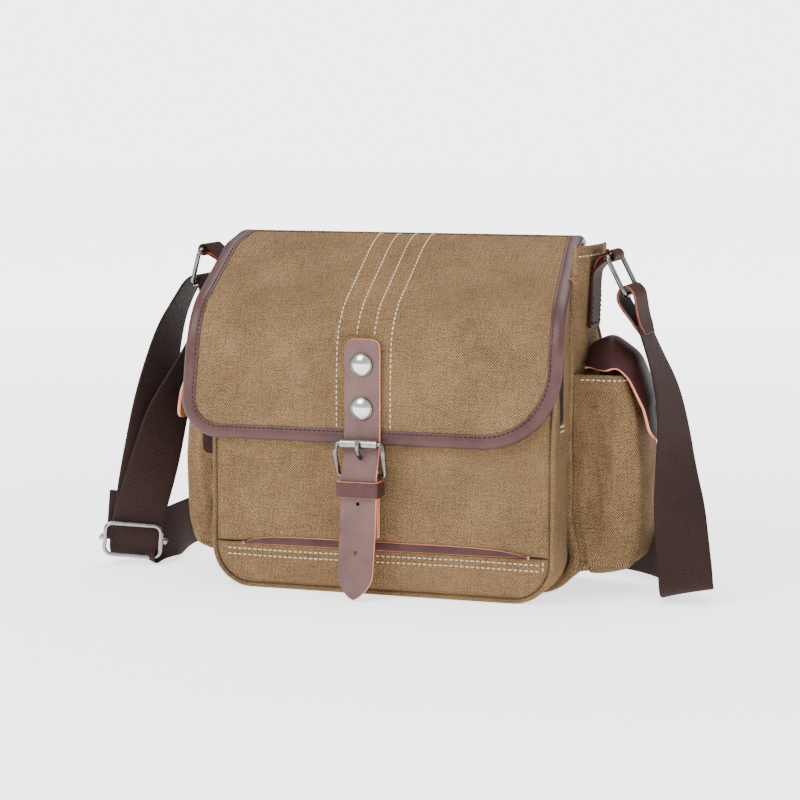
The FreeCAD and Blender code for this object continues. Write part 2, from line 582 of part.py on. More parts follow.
def faceted_solid(sections):
    """A solid through four-cornered sections, with two triangles on each side between them."""
    corners = [(sections[0][0], sections[0][1], sections[0][2]),
               (sections[0][0], sections[0][2], sections[0][3]),
               (sections[-1][0], sections[-1][1], sections[-1][2]),
               (sections[-1][0], sections[-1][2], sections[-1][3])]
    for first, last in zip(sections, sections[1:]):
        for i in range(4):
            j = (i + 1) % 4
            corners.append((first[i], first[j], last[j]))
            corners.append((first[i], last[j], last[i]))
    shell = Part.makeShell([Part.Face(Part.makePolygon([a, b, c, a])) for a, b, c in corners])
    shell.sewShape()
    solid = Part.makeSolid(shell)
    if solid.Volume < 0:
        solid.reverse()
    return solid


def width_at(where):
    """The webbing's width direction at a place counted in route points."""
    index = min(int(where), len(ROUTE) - 2)
    share = where - index
    return V(*ROUTE[index][1]) * (1 - share) + V(*ROUTE[index + 1][1]) * share


def make_webbing():
    """Flat webbing along the strap's route, from the leather end to the slider's bar."""
    points = [V(*place) for place, _ in ROUTE]
    radii = route_radii(points)
    print("webbing corner radii", " ".join(f"{r:.0f}" for r in radii[1:-1]))
    path = smooth(points, radii)
    arcs = [edge for edge in path.Edges if "Circle" in edge.Curve.TypeId]
    stations = [(points[0], unit(points[1] - points[0]), 0)]
    for index, edge in enumerate(arcs, 1):
        turn = edge.Length / edge.Curve.Radius
        steps = max(2, math.ceil(turn / 0.3))
        for i in range(steps + 1):
            at = edge.FirstParameter + (edge.LastParameter - edge.FirstParameter) * i / steps
            stations.append((edge.valueAt(at), edge.tangentAt(at), index + 0.8 * (i / steps - 0.5)))
    stations.append((points[-1], unit(points[-1] - points[-2]), len(points) - 1))
    sections = []
    for place, ahead, where in stations:
        wide = width_at(where)
        flat = unit(wide - ahead * wide.dot(ahead))
        a, b = flat * (WEB_WIDE / 2), ahead.cross(flat) * (WEB_THICK / 2)
        sections.append([place + a + b, place - a + b, place - a - b, place + a - b])
    strip = faceted_solid(sections)
    print(f"webbing length {path.Length:.0f}, volume over section and length "
          f"{strip.Volume / (WEB_WIDE * WEB_THICK * path.Length):.3f}")
    save("shoulder_webbing", strip)


def make_strap_end():
    """Leather end that loops loosely through the right ring and takes the webbing."""
    (x0, z0), (x1, z1) = END_PIECE
    ahead = unit(V(x1 - x0, 0, z1 - z0))
    wide = (RING_Y - 16, RING_Y + 16)
    loop = rod((x0, wide[0], z0), (x0, wide[1], z0), 6.4)
    side = V(-ahead.z, 0, ahead.x) * 2.6
    start, tip = V(x0, 0, z0), V(x1, 0, z1) - ahead * WEB_END_GAP
    plate = [(p.x, p.z, 0) for p in (start + side, tip + side, tip - side, start - side)]
    end = loop.fuse(prism(plate, wide[0], wide[1], "xz")).removeSplitter()
    save("strap_end", end.cut(rod((x0, -99, z0), (x0, 99, z0), 4.2)))


def make_strap_slider():
    """Wire slider frame, its centre bar and the sewn end of the webbing round that bar."""
    along = unit(V(*SLIDER_ALONG))
    up = unit(V(0, 0, 1) - along * along.z)
    out = along.cross(up)
    at = V(*SLIDER_AT)
    long, high = along * (SLIDER_LONG / 2), up * (SLIDER_HIGH / 2)
    corners = [at - long - high, at + long - high, at + long + high, at - long + high]
    frame = pipe(corners, [SLIDER_BEND] * 4, SLIDER_WIRE, closed=True)
    save("slider_frame", frame)

    centre = at - out * BAR_BACK
    reach = along * (SLIDER_LONG / 2 + BAR_R + SLIDER_WIRE + 0.2)
    bar = rod(centre - reach, centre + reach, BAR_R)
    for end in (centre - reach, centre + reach):
        bar = bar.fuse(rod(end, end + out * (BAR_BACK - 0.5), BAR_R).fuse(Part.makeSphere(BAR_R, end)))
    save("slider_bar", bar.removeSplitter())

    half = along * (WEB_WIDE / 2)
    shift = along * -2.5
    inner, outer = BAR_R + 0.15, BAR_R + 0.15 + WEB_THICK
    wrap = rod(centre - half + shift, centre + half + shift, outer)
    wrap = wrap.cut(beyond(centre, up))
    rear = centre - out * inner
    slab = Part.makeBox(WEB_WIDE, WEB_THICK, TAIL_LONG)
    slab.Placement = FreeCAD.Placement(rear - half + shift, FreeCAD.Rotation(along, out * -1, up, "XYZ"))
    tail = wrap.fuse(slab).cut(rod(centre - long * 2, centre + long * 2, inner))
    save("webbing_sewn_end", tail)


make_body()
make_front_compartment()
make_zip_slider()
make_flap()
make_closure()
for which in (1, -1):
    make_side_pocket(which)
    make_ring(which)
make_webbing()
make_strap_end()
make_strap_slider()
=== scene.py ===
"""Looks of the canvas messenger bag: woven canvas, bound leather, webbing, threads and metal.

Shapes are worked out in millimetres in the bag's own frame and turned into metres when a mesh is
made. +X is the bag's right side seen from the front, +Y its back and +Z up.
"""
import bmesh
import bpy
import math
import numpy as np
from functools import lru_cache
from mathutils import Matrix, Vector, noise


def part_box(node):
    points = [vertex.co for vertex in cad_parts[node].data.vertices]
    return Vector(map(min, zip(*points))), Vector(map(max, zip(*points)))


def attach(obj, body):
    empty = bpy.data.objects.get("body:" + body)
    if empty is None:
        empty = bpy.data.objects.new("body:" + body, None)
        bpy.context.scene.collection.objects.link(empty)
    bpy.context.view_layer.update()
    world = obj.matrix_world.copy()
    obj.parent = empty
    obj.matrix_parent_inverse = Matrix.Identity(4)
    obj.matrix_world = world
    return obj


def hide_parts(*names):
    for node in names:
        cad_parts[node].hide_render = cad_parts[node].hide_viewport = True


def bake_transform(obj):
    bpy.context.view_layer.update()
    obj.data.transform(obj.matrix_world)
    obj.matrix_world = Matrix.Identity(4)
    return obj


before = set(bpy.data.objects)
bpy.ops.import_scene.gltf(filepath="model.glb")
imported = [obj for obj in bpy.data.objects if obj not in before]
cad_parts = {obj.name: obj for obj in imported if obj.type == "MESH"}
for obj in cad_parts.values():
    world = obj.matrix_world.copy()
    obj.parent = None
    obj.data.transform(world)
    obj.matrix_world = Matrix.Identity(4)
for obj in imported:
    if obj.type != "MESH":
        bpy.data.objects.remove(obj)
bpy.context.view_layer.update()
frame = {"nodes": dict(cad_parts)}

MM = 0.001
UP = np.array((0.0, 0.0, 1.0))
X_AXIS = np.array((1.0, 0.0, 0.0))
Y_AXIS = np.array((0.0, 1.0, 0.0))


def span(node):
    """Lowest and highest corner of a CAD piece, in millimetres."""
    low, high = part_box(node)
    return np.array(low) / MM, np.array(high) / MM


# ---------------------------------------------------------------- sizes, in millimetres
BODY_HALF = span("back_panel")[1][0]
BODY_BACK = span("back_panel")[1][1]
BODY_HIGH = span("main_gusset")[1][2]
SEAM_Y = span("main_gusset")[0][1]
CORNER = 30.0
FRONT_HALF = span("front_panel")[1][0]
FRONT_GUSSET_HALF = span("front_gusset")[1][0]
FRONT_CORNER = 28.0
BAND_TOP = span("front_lower_band")[1][2]
FRONT_Y = -55.0
FRONT_PROFILE = [(FRONT_Y, 0, 0), (FRONT_Y, 150, 100), (-52.5, 190.5, 40), (-14.5, 214, 0)]
PANEL_TOP_Y = -45.0
ZIP_Y = (-36.0, -31.0)
ZIP_LOW = 126.0
FLAP_PROFILE = [(55.5, 248.5, 0), (40, 253.5, 20), (18, 244.5, 60), (-57.5, 197.5, 48),
                (-60, 150, 100), (-60, 109, 0)]
FLAP_LEFT = ((248, -137.0), (243, -145.1), (186, -145.3), (128, -150.6))
FLAP_RIGHT = ((248, 122.5), (217, 130.8), (188, 134.5), (140, 132.5))
FLAP_CORNERS = (28.0, 58.0)
FLAP_THICK = 3.0
BIND_WIDE = 10.5
CLOTH = 2.0
HEM = 5.5
DRAWN_IN = 5.5
STITCH_ROWS = (-30.0, -16.0, -3.0, 10.0)
STRAP_X = -10.0
STRAP_HALF = 13.0
STRAP_PROFILE = [(-63.7, 184, 0), (-63.7, 121, 20), (-64.7, 107, 12), (-71.8, 87, 20),
                 (-74.1, 50, 40), (-80.5, 20, 40), (-84.5, 2, 0)]
KEEPER_Z = (73.0, 84.0)
HOLE_Z = (68.4, 34.3)
RIVET_Z = (166.0, 135.0)
POCKET_Y = (-10.5, 48.0)
POCKET_PROFILE = [(30, 158, 0), (41, 130, 60), (46, 88, 60), (44.5, 42, 18), (39, 23, 11),
                  (15, 18, 10), (0, 24, 0)]
LEFT_SCALE = 0.74
LEAF_PROFILE = {1: [(0.2, 170, 0), (2.6, 179, 5), (17, 186.2, 10), (36, 172.6, 20), (49, 140.2, 30),
                    (54.6, 113.2, 0)],
                -1: [(0.2, 170, 0), (2.6, 179, 5), (15, 185.2, 8), (29.5, 172.6, 14), (39, 141.2, 30),
                     (42, 114.2, 0)]}
LEAF_EDGE = {1: [(1.5, 157, 0), (8, 150, 8), (15, 158, 8), (24, 166.5, 8), (35, 157, 20), (46, 136, 30),
                 (54.6, 113.2, 0)],
             -1: [(1.5, 157, 0), (7, 150, 8), (12, 157, 8), (19, 165.5, 8), (28, 157, 16), (36.5, 136, 30),
                  (42, 114.2, 0)]}
LEAF_Y = (-10.0, 42.0)
LEAF_CORNER = 13.0
RING_AT = {1: (151.0, 241.0), -1: (158.0, 240.0)}
RING_Y = 20.0
TAB_HALF = 14.5
TAB_TURN = 4.5

SLIDER_ALONG = (0.951, 0.308, -0.08)
SEWN_TAIL = 35.0
SEWN_TURN = 2.6

# The shoulder strap's route: each point with the direction of the webbing's width there.
WEB_WIDE = 38.0
WEB_THICK = 1.8
ROUTE = [
    ((174.2, 19.6, 190.6), (0.00, 1.00, 0.00)),
    ((181.6, 17.0, 174.0), (0.05, 1.00, 0.00)),
    ((192.4, 11.7, 151.0), (0.23, 0.97, 0.00)),
    ((199.2, 4.7, 123.0), (0.37, 0.93, 0.00)),
    ((203.0, -3.0, 92.0), (0.60, 0.80, 0.00)),
    ((207.0, -9.6, 66.0), (0.87, 0.50, 0.00)),
    ((210.6, -16.0, 41.0), (0.95, 0.31, 0.03)),
    ((214.2, -22.0, 22.0), (0.97, 0.22, 0.12)),
    ((215.2, -23.5, 11.0), (0.97, 0.16, 0.12)),
    ((214.4, -15.0, 7.6), (0.97, 0.08, 0.24)),
    ((210.0, 4.0, 13.9), (0.84, 0.00, 0.54)),
    ((199.0, 32.0, 19.2), (0.36, 0.00, 0.93)),
    ((178.0, 68.0, 19.7), (0.00, 0.00, 1.00)),
    ((138.0, 98.0, 19.7), (0.00, 0.00, 1.00)),
    ((86.0, 116.0, 19.7), (0.00, 0.00, 1.00)),
    ((28.0, 126.0, 19.7), (0.00, 0.00, 1.00)),
    ((-32.0, 134.0, 19.7), (0.00, 0.00, 1.00)),
    ((-92.0, 144.0, 19.7), (0.00, 0.00, 1.00)),
    ((-146.0, 151.0, 19.7), (0.00, 0.00, 1.00)),
    ((-184.0, 146.0, 19.7), (0.00, 0.00, 1.00)),
    ((-203.0, 122.0, 19.7), (0.00, 0.00, 1.00)),
    ((-204.0, 86.0, 19.7), (0.00, 0.00, 1.00)),
    ((-200.0, 52.0, 19.9), (-0.20, 0.00, 0.98)),
    ((-201.4, 26.0, 18.2), (-0.60, 0.15, 0.78)),
    ((-207.4, 10.5, 12.6), (-0.82, 0.35, 0.45)),
    ((-212.8, 4.5, 7.0), (-0.93, 0.15, 0.11)),
    ((-214.8, -1.2, 6.8), (-0.95, -0.12, 0.10)),
    ((-215.0, -2.2, 16.0), (-0.94, -0.10, 0.10)),
    ((-211.6, -1.8, 31.0), (-0.95, -0.31, 0.08)),
    ((-206.6, -0.5, 50.0), (-0.89, -0.45, 0.00)),
    ((-200.0, 7.2, 79.0), (-0.79, -0.62, 0.00)),
    ((-192.4, 12.1, 113.0), (-0.60, -0.80, 0.00)),
    ((-181.4, 16.5, 144.0), (-0.20, -0.98, 0.00)),
    ((-168.4, 18.5, 172.0), (0.00, -1.00, 0.00)),
    ((-158.6, 20.0, 194.0), (0.00, -1.00, 0.00)),
    ((-159.4, 20.0, 212.0), (0.00, -1.00, 0.00)),
    ((-162.6, 20.0, 221.4), (0.00, -1.00, 0.00)),
    ((-171.0, 20.0, 218.0), (0.00, -1.00, 0.00)),
    ((-180.6, 19.7, 203.0), (0.00, -1.00, 0.00)),
    ((-190.2, 18.5, 183.0), (-0.15, -0.98, 0.00)),
    ((-196.8, 16.6, 157.0), (-0.32, -0.94, 0.00)),
    ((-202.8, 13.4, 124.0), (-0.54, -0.84, 0.00)),
    ((-206.4, 9.6, 90.0), (-0.72, -0.69, 0.00)),
    ((-210.0, 5.4, 58.0), (-0.88, -0.47, 0.00)),
    ((-212.4, 2.6, 34.0), (-0.95, -0.31, 0.05)),
    ((-213.6, 2.2, 20.0), (-0.95, -0.31, 0.08)),
]


# ---------------------------------------------------------------- camera, light and floor
def set_stage():
    """Camera at the photograph's angle, a pale floor and soft studio light."""
    scene = bpy.context.scene
    azimuth, elevation, distance = math.radians(17.95), math.radians(7.18), 1.780
    aim = Vector((-0.0081, 0.0178, 0.1314))
    back = Vector((math.sin(azimuth) * math.cos(elevation), -math.cos(azimuth) * math.cos(elevation),
                   math.sin(elevation)))
    data = bpy.data.cameras.new("camera")
    data.sensor_width = 36.0
    data.lens = 108.8
    camera = bpy.data.objects.new("camera", data)
    camera.location = aim + back * distance
    camera.rotation_euler = back.to_track_quat("Z", "Y").to_euler()
    scene.collection.objects.link(camera)
    scene.camera = camera

    world = bpy.data.worlds.new("studio")
    world.use_nodes = True
    glow = world.node_tree.nodes["Background"]
    glow.inputs[0].default_value = (1.0, 1.0, 1.0, 1.0)
    seen = world.node_tree.nodes.new("ShaderNodeLightPath")
    strength = world.node_tree.nodes.new("ShaderNodeMath")
    strength.operation = "MULTIPLY_ADD"
    strength.inputs[1].default_value, strength.inputs[2].default_value = 3.6, 0.9
    world.node_tree.links.new(seen.outputs["Is Camera Ray"], strength.inputs[0])
    world.node_tree.links.new(strength.outputs[0], glow.inputs[1])
    scene.world = world

    lights = (("key", (-0.75, -1.25, 1.35), 0.9, 33.0), ("fill", (1.35, -0.85, 0.85), 1.2, 6.0),
              ("top", (0.1, 0.5, 1.7), 1.2, 24.0))
    for name, place, size, power in lights:
        lamp = bpy.data.lights.new(name, "AREA")
        lamp.size, lamp.energy = size, power
        holder = bpy.data.objects.new(name, lamp)
        holder.location = place
        holder.rotation_euler = (Vector(place) - Vector((0, 0, 0.1))).to_track_quat("Z", "Y").to_euler()
        scene.collection.objects.link(holder)

    floor = bpy.data.meshes.new("floor")
    reach = 9.0
    floor.from_pydata([(-reach, -reach, 0), (reach, -reach, 0), (reach, reach, 0), (-reach, reach, 0)],
                      [], [(0, 1, 2, 3)])
    ground = bpy.data.objects.new("floor", floor)
    scene.collection.objects.link(ground)
    paper = Shader("floor_paper", (0.93, 0.93, 0.93), 0.9)
    paper.bsdf.inputs["Emission Color"].default_value = (1.0, 1.0, 1.0, 1.0)
    away = paper.node("VectorMath", operation="LENGTH")
    paper.feed(away.inputs[0], paper.place("Object"))
    brighter = paper.node("MapRange", Value=away.outputs["Value"], From_Min=0.35, From_Max=2.2,
                          To_Min=1.6, To_Max=3.6)
    paper.feed(paper.bsdf.inputs["Emission Strength"], brighter.outputs[0])
    floor.materials.append(paper.material)


# ---------------------------------------------------------------- materials
class Shader:
    """A principled material with short calls for the nodes that feed it."""

    def __init__(self, name, color, roughness, metallic=0.0):
        self.material = bpy.data.materials.new(name)
        self.material.use_nodes = True
        self.material.diffuse_color = (*color, 1.0)
        self.tree = self.material.node_tree
        self.bsdf = self.tree.nodes["Principled BSDF"]
        self.bsdf.inputs["Base Color"].default_value = (*color, 1.0)
        self.bsdf.inputs["Roughness"].default_value = roughness
        self.bsdf.inputs["Metallic"].default_value = metallic

    def node(self, kind, **settings):
        """A new node: names that are sockets are linked or set, the rest are its properties."""
        made = self.tree.nodes.new("ShaderNode" + kind)
        for key, value in settings.items():
            if hasattr(made, key):
                setattr(made, key, value)
        for key, value in settings.items():
            if hasattr(made, key):
                continue
            socket = made.inputs[int(key[1:])] if key[0] == "_" else made.inputs[key.replace("_", " ")]
            self.feed(socket, value)
        return made

    def feed(self, socket, value):
        """Link an output to a socket, or set its value."""
        if isinstance(value, bpy.types.NodeSocket):
            self.tree.links.new(value, socket)
        else:
            socket.default_value = value

    def math(self, operation, a, b=0.0, c=0.0):
        """One arithmetic step."""
        return self.node("Math", operation=operation, _0=a, _1=b, _2=c).outputs[0]

    def noise(self, vector, scale, detail=2.0, roughness=0.5):
        """Noise between 0 and 1 at a scale in features per metre."""
        made = self.node("TexNoise", Vector=vector, Scale=scale, Detail=detail, Roughness=roughness)
        return made.outputs["Fac"]

    def ramp(self, value, stops):
        """A colour ramp from (place, colour) stops."""
        made = self.node("ValToRGB", Fac=value)
        ramp = made.color_ramp
        while len(ramp.elements) < len(stops):
            ramp.elements.new(0.5)
        for element, (place, color) in zip(ramp.elements, stops):
            element.position = place
            element.color = (*color, 1.0)
        return made.outputs["Color"]

    def mix(self, factor, a, b, blend="MIX"):
        """Two colours mixed."""
        made = self.node("Mix", data_type="RGBA", blend_type=blend)
        self.feed(made.inputs["Factor"], factor)
        for socket, value in ((made.inputs[6], a), (made.inputs[7], b)):
            self.feed(socket, (*value, 1.0) if isinstance(value, tuple) else value)
        return made.outputs[2]

    def bump(self, height, distance, strength=1.0, over=None):
        """Relief of a height map, in metres, on top of another relief."""
        made = self.node("Bump", Height=height, Distance=distance, Strength=strength)
        if over:
            self.feed(made.inputs["Normal"], over)
        return made.outputs[0]

    def place(self, kind="Object"):
        """Texture coordinates: Object in metres, or UV, which holds metres along the cloth."""
        return self.node("TexCoord").outputs[kind]


def threads(shader, pitch, vector):
    """The two sine waves of a plain weave, along and across the cloth, from 0 to 1."""
    parts = shader.node("SeparateXYZ", Vector=vector)
    waves = []
    for axis in (0, 1):
        turns = shader.math("MULTIPLY", parts.outputs[axis], 2 * math.pi / (pitch * MM))
        waves.append(shader.math("MULTIPLY_ADD", shader.math("SINE", turns), 0.5, 0.5))
    return waves


def canvas_material(name, shade, pitch=1.9):
    """Washed canvas: uneven warp and weft threads, slubs, and slow changes of tone."""
    shader = Shader(name, shade[1], 0.92)
    cloth, space = shader.place("UV"), shader.place("Object")
    wobble = shader.noise(cloth, 160, 2)
    shift = shader.node("VectorMath", operation="SCALE")
    shader.feed(shift.inputs[0], shader.node("CombineXYZ", X=wobble, Y=wobble).outputs[0])
    shift.inputs["Scale"].default_value = 2.0 * MM
    moved = shader.node("VectorMath", operation="ADD", _0=cloth, _1=shift.outputs[0]).outputs[0]
    warp, weft = threads(shader, pitch, moved)
    weave = shader.math("ADD", shader.math("MULTIPLY", warp, weft),
                        shader.math("MULTIPLY", shader.math("SUBTRACT", 1.0, warp),
                                    shader.math("SUBTRACT", 1.0, weft)))
    grain = shader.noise(cloth, 850, 2, 0.6)
    slubs = [shader.noise(shader.node("Mapping", Vector=cloth, Scale=scale).outputs[0], 1.0, 2, 0.6)
             for scale in ((70, 700, 1), (700, 70, 1))]
    tone = shader.math("ADD", shader.math("MULTIPLY", weave, 0.3), shader.math("MULTIPLY", grain, 0.46))
    for slub in slubs:
        tone = shader.math("MULTIPLY_ADD", slub, 0.13, tone)
    fine = shader.ramp(tone, ((0.34, shade[0]), (0.5, shade[1]), (0.68, shade[2])))
    slow = shader.noise(space, 22, 4, 0.65)
    cloud = shader.ramp(slow, ((0.32, (0.8, 0.79, 0.78)), (0.68, (1.14, 1.13, 1.1))))
    shader.feed(shader.bsdf.inputs["Base Color"], shader.mix(1.0, fine, cloud, "MULTIPLY"))
    relief = shader.bump(weave, 0.3 * MM, 0.9)
    relief = shader.bump(grain, 0.25 * MM, 0.8, relief)
    relief = shader.bump(shader.noise(space, 120, 3), 0.6 * MM, 0.5, relief)
    shader.feed(shader.bsdf.inputs["Normal"], relief)
    shader.bsdf.inputs["Specular IOR Level"].default_value = 0.1
    return shader.material


def webbing_material(name):
    """Ribbed webbing in dark brown: a close basket weave whose thread crowns carry painted highlights, with
    painted shade in the dips between them.
    """
    # light is the painted highlight colour of the thread crowns, and dark is the painted shade between
    # threads.
    dark, middle, light = (0.006, 0.0022, 0.0018), (0.018, 0.0068, 0.0052), (0.062, 0.026, 0.021)
    shader = Shader(name, middle, 0.75)
    cloth, space = shader.place("UV"), shader.place("Object")
    along, over = threads(shader, 2.3, cloth)
    crown_relief_and_highlight = shader.math("ADD", shader.math("MULTIPLY", along, over),
                         shader.math("MULTIPLY", shader.math("SUBTRACT", 1.0, along),
                                     shader.math("SUBTRACT", 1.0, over)))
    fuzz = shader.noise(cloth, 1500, 2, 0.6)
    # The weave pattern also sets the colour: painted highlights on the crowns and painted shade in the dips.
    # It drives the real bump relief below as well.
    tone = shader.math("ADD", shader.math("MULTIPLY", crown_relief_and_highlight, 0.66), shader.math("MULTIPLY", fuzz, 0.34))
    color = shader.ramp(tone, ((0.3, dark), (0.56, middle), (0.84, light)))
    slow = shader.ramp(shader.noise(space, 30, 2), ((0.3, (0.85, 0.85, 0.85)), (0.7, (1.12, 1.1, 1.1))))
    shader.feed(shader.bsdf.inputs["Base Color"], shader.mix(1.0, color, slow, "MULTIPLY"))
    relief = shader.bump(crown_relief_and_highlight, 0.35 * MM, 1.0)
    shader.feed(shader.bsdf.inputs["Normal"], shader.bump(fuzz, 0.1 * MM, 0.6, relief))
    shader.bsdf.inputs["Specular IOR Level"].default_value = 0.2
    return shader.material


def leather_material(name, dark, light, roughness, wear=0.25, shine=0.26):
    """Finished leather: pull-up clouds, pores and fine creases."""
    shader = Shader(name, light, roughness)
    space = shader.place("Object")
    cloud = shader.noise(space, 45, 4, 0.6)
    speck = shader.noise(space, 900, 3, 0.7)
    tone = shader.math("ADD", shader.math("MULTIPLY", cloud, 0.7), shader.math("MULTIPLY", speck, 0.3))
    color = shader.ramp(tone, ((0.32, dark), (0.66, light)))
    rub = shader.math("MULTIPLY", shader.math("POWER", shader.noise(space, 14, 3), 3.0), wear)
    pale = tuple(min(1.0, 1.9 * c + 0.02) for c in light)
    shader.feed(shader.bsdf.inputs["Base Color"], shader.mix(rub, color, pale))
    pores = shader.node("TexVoronoi", Vector=space, Scale=850.0, feature="DISTANCE_TO_EDGE")
    relief = shader.bump(pores.outputs["Distance"], 0.12 * MM, 0.55)
    shader.feed(shader.bsdf.inputs["Normal"], shader.bump(speck, 0.15 * MM, 0.35, relief))
    gloss = shader.math("MULTIPLY_ADD", cloud, 0.25, roughness - 0.12)
    shader.feed(shader.bsdf.inputs["Roughness"], gloss)
    shader.bsdf.inputs["Specular IOR Level"].default_value = shine
    return shader.material


def fibre_material(name, dark, light, roughness=0.8, scale=700):
    """Fibrous stuff in two tones, such as a cut leather edge, thread or felt."""
    shader = Shader(name, light, roughness)
    space = shader.place("Object")
    fibre = shader.noise(space, scale, 4, 0.7)
    slow = shader.noise(space, 60, 2)
    tone = shader.math("ADD", shader.math("MULTIPLY", fibre, 0.6), shader.math("MULTIPLY", slow, 0.4))
    shader.feed(shader.bsdf.inputs["Base Color"], shader.ramp(tone, ((0.3, dark), (0.68, light))))
    shader.feed(shader.bsdf.inputs["Normal"], shader.bump(fibre, 0.12 * MM, 0.6))
    shader.bsdf.inputs["Specular IOR Level"].default_value = 0.25
    return shader.material


def metal_material(name, color, roughness):
    """Plated metal with faint clouds and hairline marks."""
    shader = Shader(name, color, roughness, 1.0)
    space = shader.place("Object")
    cloud = shader.noise(space, 180, 3)
    marks = shader.noise(shader.node("Mapping", Vector=space, Scale=(200, 2600, 2600)).outputs[0], 1.0, 2)
    tone = tuple(0.72 * c for c in color)
    shader.feed(shader.bsdf.inputs["Base Color"], shader.ramp(cloud, ((0.3, tone), (0.6, color))))
    shader.feed(shader.bsdf.inputs["Roughness"], shader.math("MULTIPLY_ADD", marks, 0.16, roughness - 0.06))
    shader.feed(shader.bsdf.inputs["Normal"], shader.bump(marks, 0.01 * MM, 0.08))
    return shader.material


def make_materials():
    """Every material of the bag, by name."""
    tan = ((0.034, 0.018, 0.0075), (0.125, 0.073, 0.034), (0.335, 0.225, 0.125))
    slate = ((0.03, 0.036, 0.05), (0.07, 0.08, 0.105), (0.13, 0.145, 0.18))
    return {
        "canvas": canvas_material("canvas", tan),
        "lining": canvas_material("lining", slate, 1.4),
        "binding": leather_material("binding_leather", (0.032, 0.0115, 0.0105), (0.078, 0.033, 0.030), 0.4),
        "strap": leather_material("strap_leather", (0.085, 0.043, 0.039), (0.14, 0.078, 0.071), 0.5),
        "keeper": leather_material("keeper_leather", (0.026, 0.0075, 0.0068), (0.07, 0.022, 0.02), 0.36),
        "pocket": leather_material("pocket_leather", (0.015, 0.005, 0.0046), (0.045, 0.0155, 0.014), 0.4,
                                   0.05, 0.12),
        "matte": leather_material("matte_leather", (0.014, 0.0046, 0.0042), (0.04, 0.014, 0.012), 0.62, 0.04,
                                  0.05),
        "trim": leather_material("trim_leather", (0.034, 0.013, 0.012), (0.078, 0.036, 0.033), 0.5, 0.15,
                                 0.12),
        "rim": fibre_material("worn_edge", (0.05, 0.018, 0.014), (0.24, 0.08, 0.055)),
        "edge": fibre_material("cut_edge", (0.55, 0.15, 0.09), (0.86, 0.34, 0.23)),
        "flesh": fibre_material("flesh_side", (0.36, 0.11, 0.03), (0.58, 0.22, 0.07)),
        "webbing": webbing_material("webbing"),
        "cream": fibre_material("cream_thread", (0.40, 0.31, 0.2), (0.76, 0.66, 0.5), 0.7, 1400),
        "brown": fibre_material("brown_thread", (0.008, 0.003, 0.0026), (0.022, 0.009, 0.008), 0.6, 1400),
        "tape": fibre_material("zip_tape", (0.012, 0.008, 0.007), (0.036, 0.026, 0.022), 0.85, 900),
        "coil": fibre_material("zip_coil", (0.01, 0.007, 0.006), (0.03, 0.02, 0.017), 0.4, 900),
        "board": fibre_material("base_board", (0.12, 0.11, 0.1), (0.2, 0.18, 0.16), 0.9),
        "nickel": metal_material("nickel", (0.66, 0.64, 0.62), 0.2),
        "steel": metal_material("dull_nickel", (0.30, 0.29, 0.28), 0.26),
        "gunmetal": metal_material("gunmetal", (0.17, 0.163, 0.158), 0.22),
    }


# ---------------------------------------------------------------- geometry
def unit(vectors):
    """Vectors scaled to length 1 along their last axis."""
    return vectors / np.maximum(np.linalg.norm(vectors, axis=-1, keepdims=True), 1e-9)


class Track:
    """A line through (u, v, radius) corners, each rounded by its radius, read by arc length."""

    def __init__(self, corners):
        places = [np.array(c[:2], float) for c in corners]
        self.parts = []
        cursor = places[0]
        for i in range(1, len(corners)):
            here, radius = places[i], corners[i][2]
            end = here
            if radius and i < len(corners) - 1:
                back, ahead = unit(places[i - 1] - here), unit(places[i + 1] - here)
                half = math.acos(np.clip(back @ ahead, -1, 1)) / 2
                reach = radius / math.tan(half)
                end = here + back * reach
            self.add(cursor, end)
            if radius and i < len(corners) - 1:
                centre = here + unit(back + ahead) * radius / math.sin(half)
                first = math.atan2(*(end - centre)[::-1])
                cross = back[0] * ahead[1] - back[1] * ahead[0]
                sweep = (math.pi - 2 * half) * (-1 if cross > 0 else 1)
                self.parts.append(("arc", centre, radius, first, sweep, abs(sweep) * radius))
                end = here + ahead * reach
            cursor = end
        self.length = sum(part[-1] for part in self.parts)
        self.known = None

    def add(self, start, end):
        """A straight part."""
        long = np.linalg.norm(end - start)
        if long > 1e-6:
            self.parts.append(("line", start, (end - start) / long, long))

    def at(self, s):
        """(u, v) and the unit direction at an arc length, straight on beyond the ends."""
        for i, part in enumerate(self.parts):
            long = part[-1]
            if s <= long or i == len(self.parts) - 1:
                break
            s -= long
        if part[0] == "line":
            return part[1] + part[2] * s, part[2]
        centre, radius, first, sweep = part[1:5]
        angle = first + sweep * s / long
        turn = math.copysign(1, sweep)
        radial = np.array((math.cos(angle), math.sin(angle)))
        return centre + radial * radius, np.array((-radial[1], radial[0])) * turn

    def where(self, axis, value):
        """The arc length at which a coordinate comes nearest to a value."""
        if self.known is None:
            marks = np.linspace(0, self.length, 1500)
            self.known = marks, np.array([self.at(s)[0] for s in marks])
        marks, places = self.known
        return marks[int(np.argmin(np.abs(places[:, axis] - value)))]


def soft(low, high, value):
    """0 below low, 1 above high, smooth between."""
    t = min(1.0, max(0.0, (value - low) / (high - low)))
    return t * t * (3 - 2 * t)


def ripple(point, size, seed=0.0):
    """Smooth noise from about -1 to 1 with features of a size."""
    return noise.noise(Vector(point) / size + Vector((seed, seed * 1.7, -seed)))


def steps(low, high, count, ease=0.0):
    """Evenly spaced values, drawn towards both ends by ease from 0 to 1."""
    t = np.linspace(0, 1, count)
    return low + (high - low) * ((1 - ease) * t + ease * 0.5 * (1 - np.cos(np.pi * t)))


def closing(low, high, first, count):
    """Values from low to high that crowd together towards high."""
    return high - (high - low) * (1 - np.sin(np.linspace(first, 1, count) * math.pi / 2))


def grid(point, us, vs):
    """The points of a two-way function."""
    return np.array([[point(u, v) for v in vs] for u in us], float)


def normals_of(points, flip=False):
    """Unit normals of a grid of points."""
    across = unit(np.cross(np.gradient(points, axis=0), np.gradient(points, axis=1)))
    return -across if flip else across


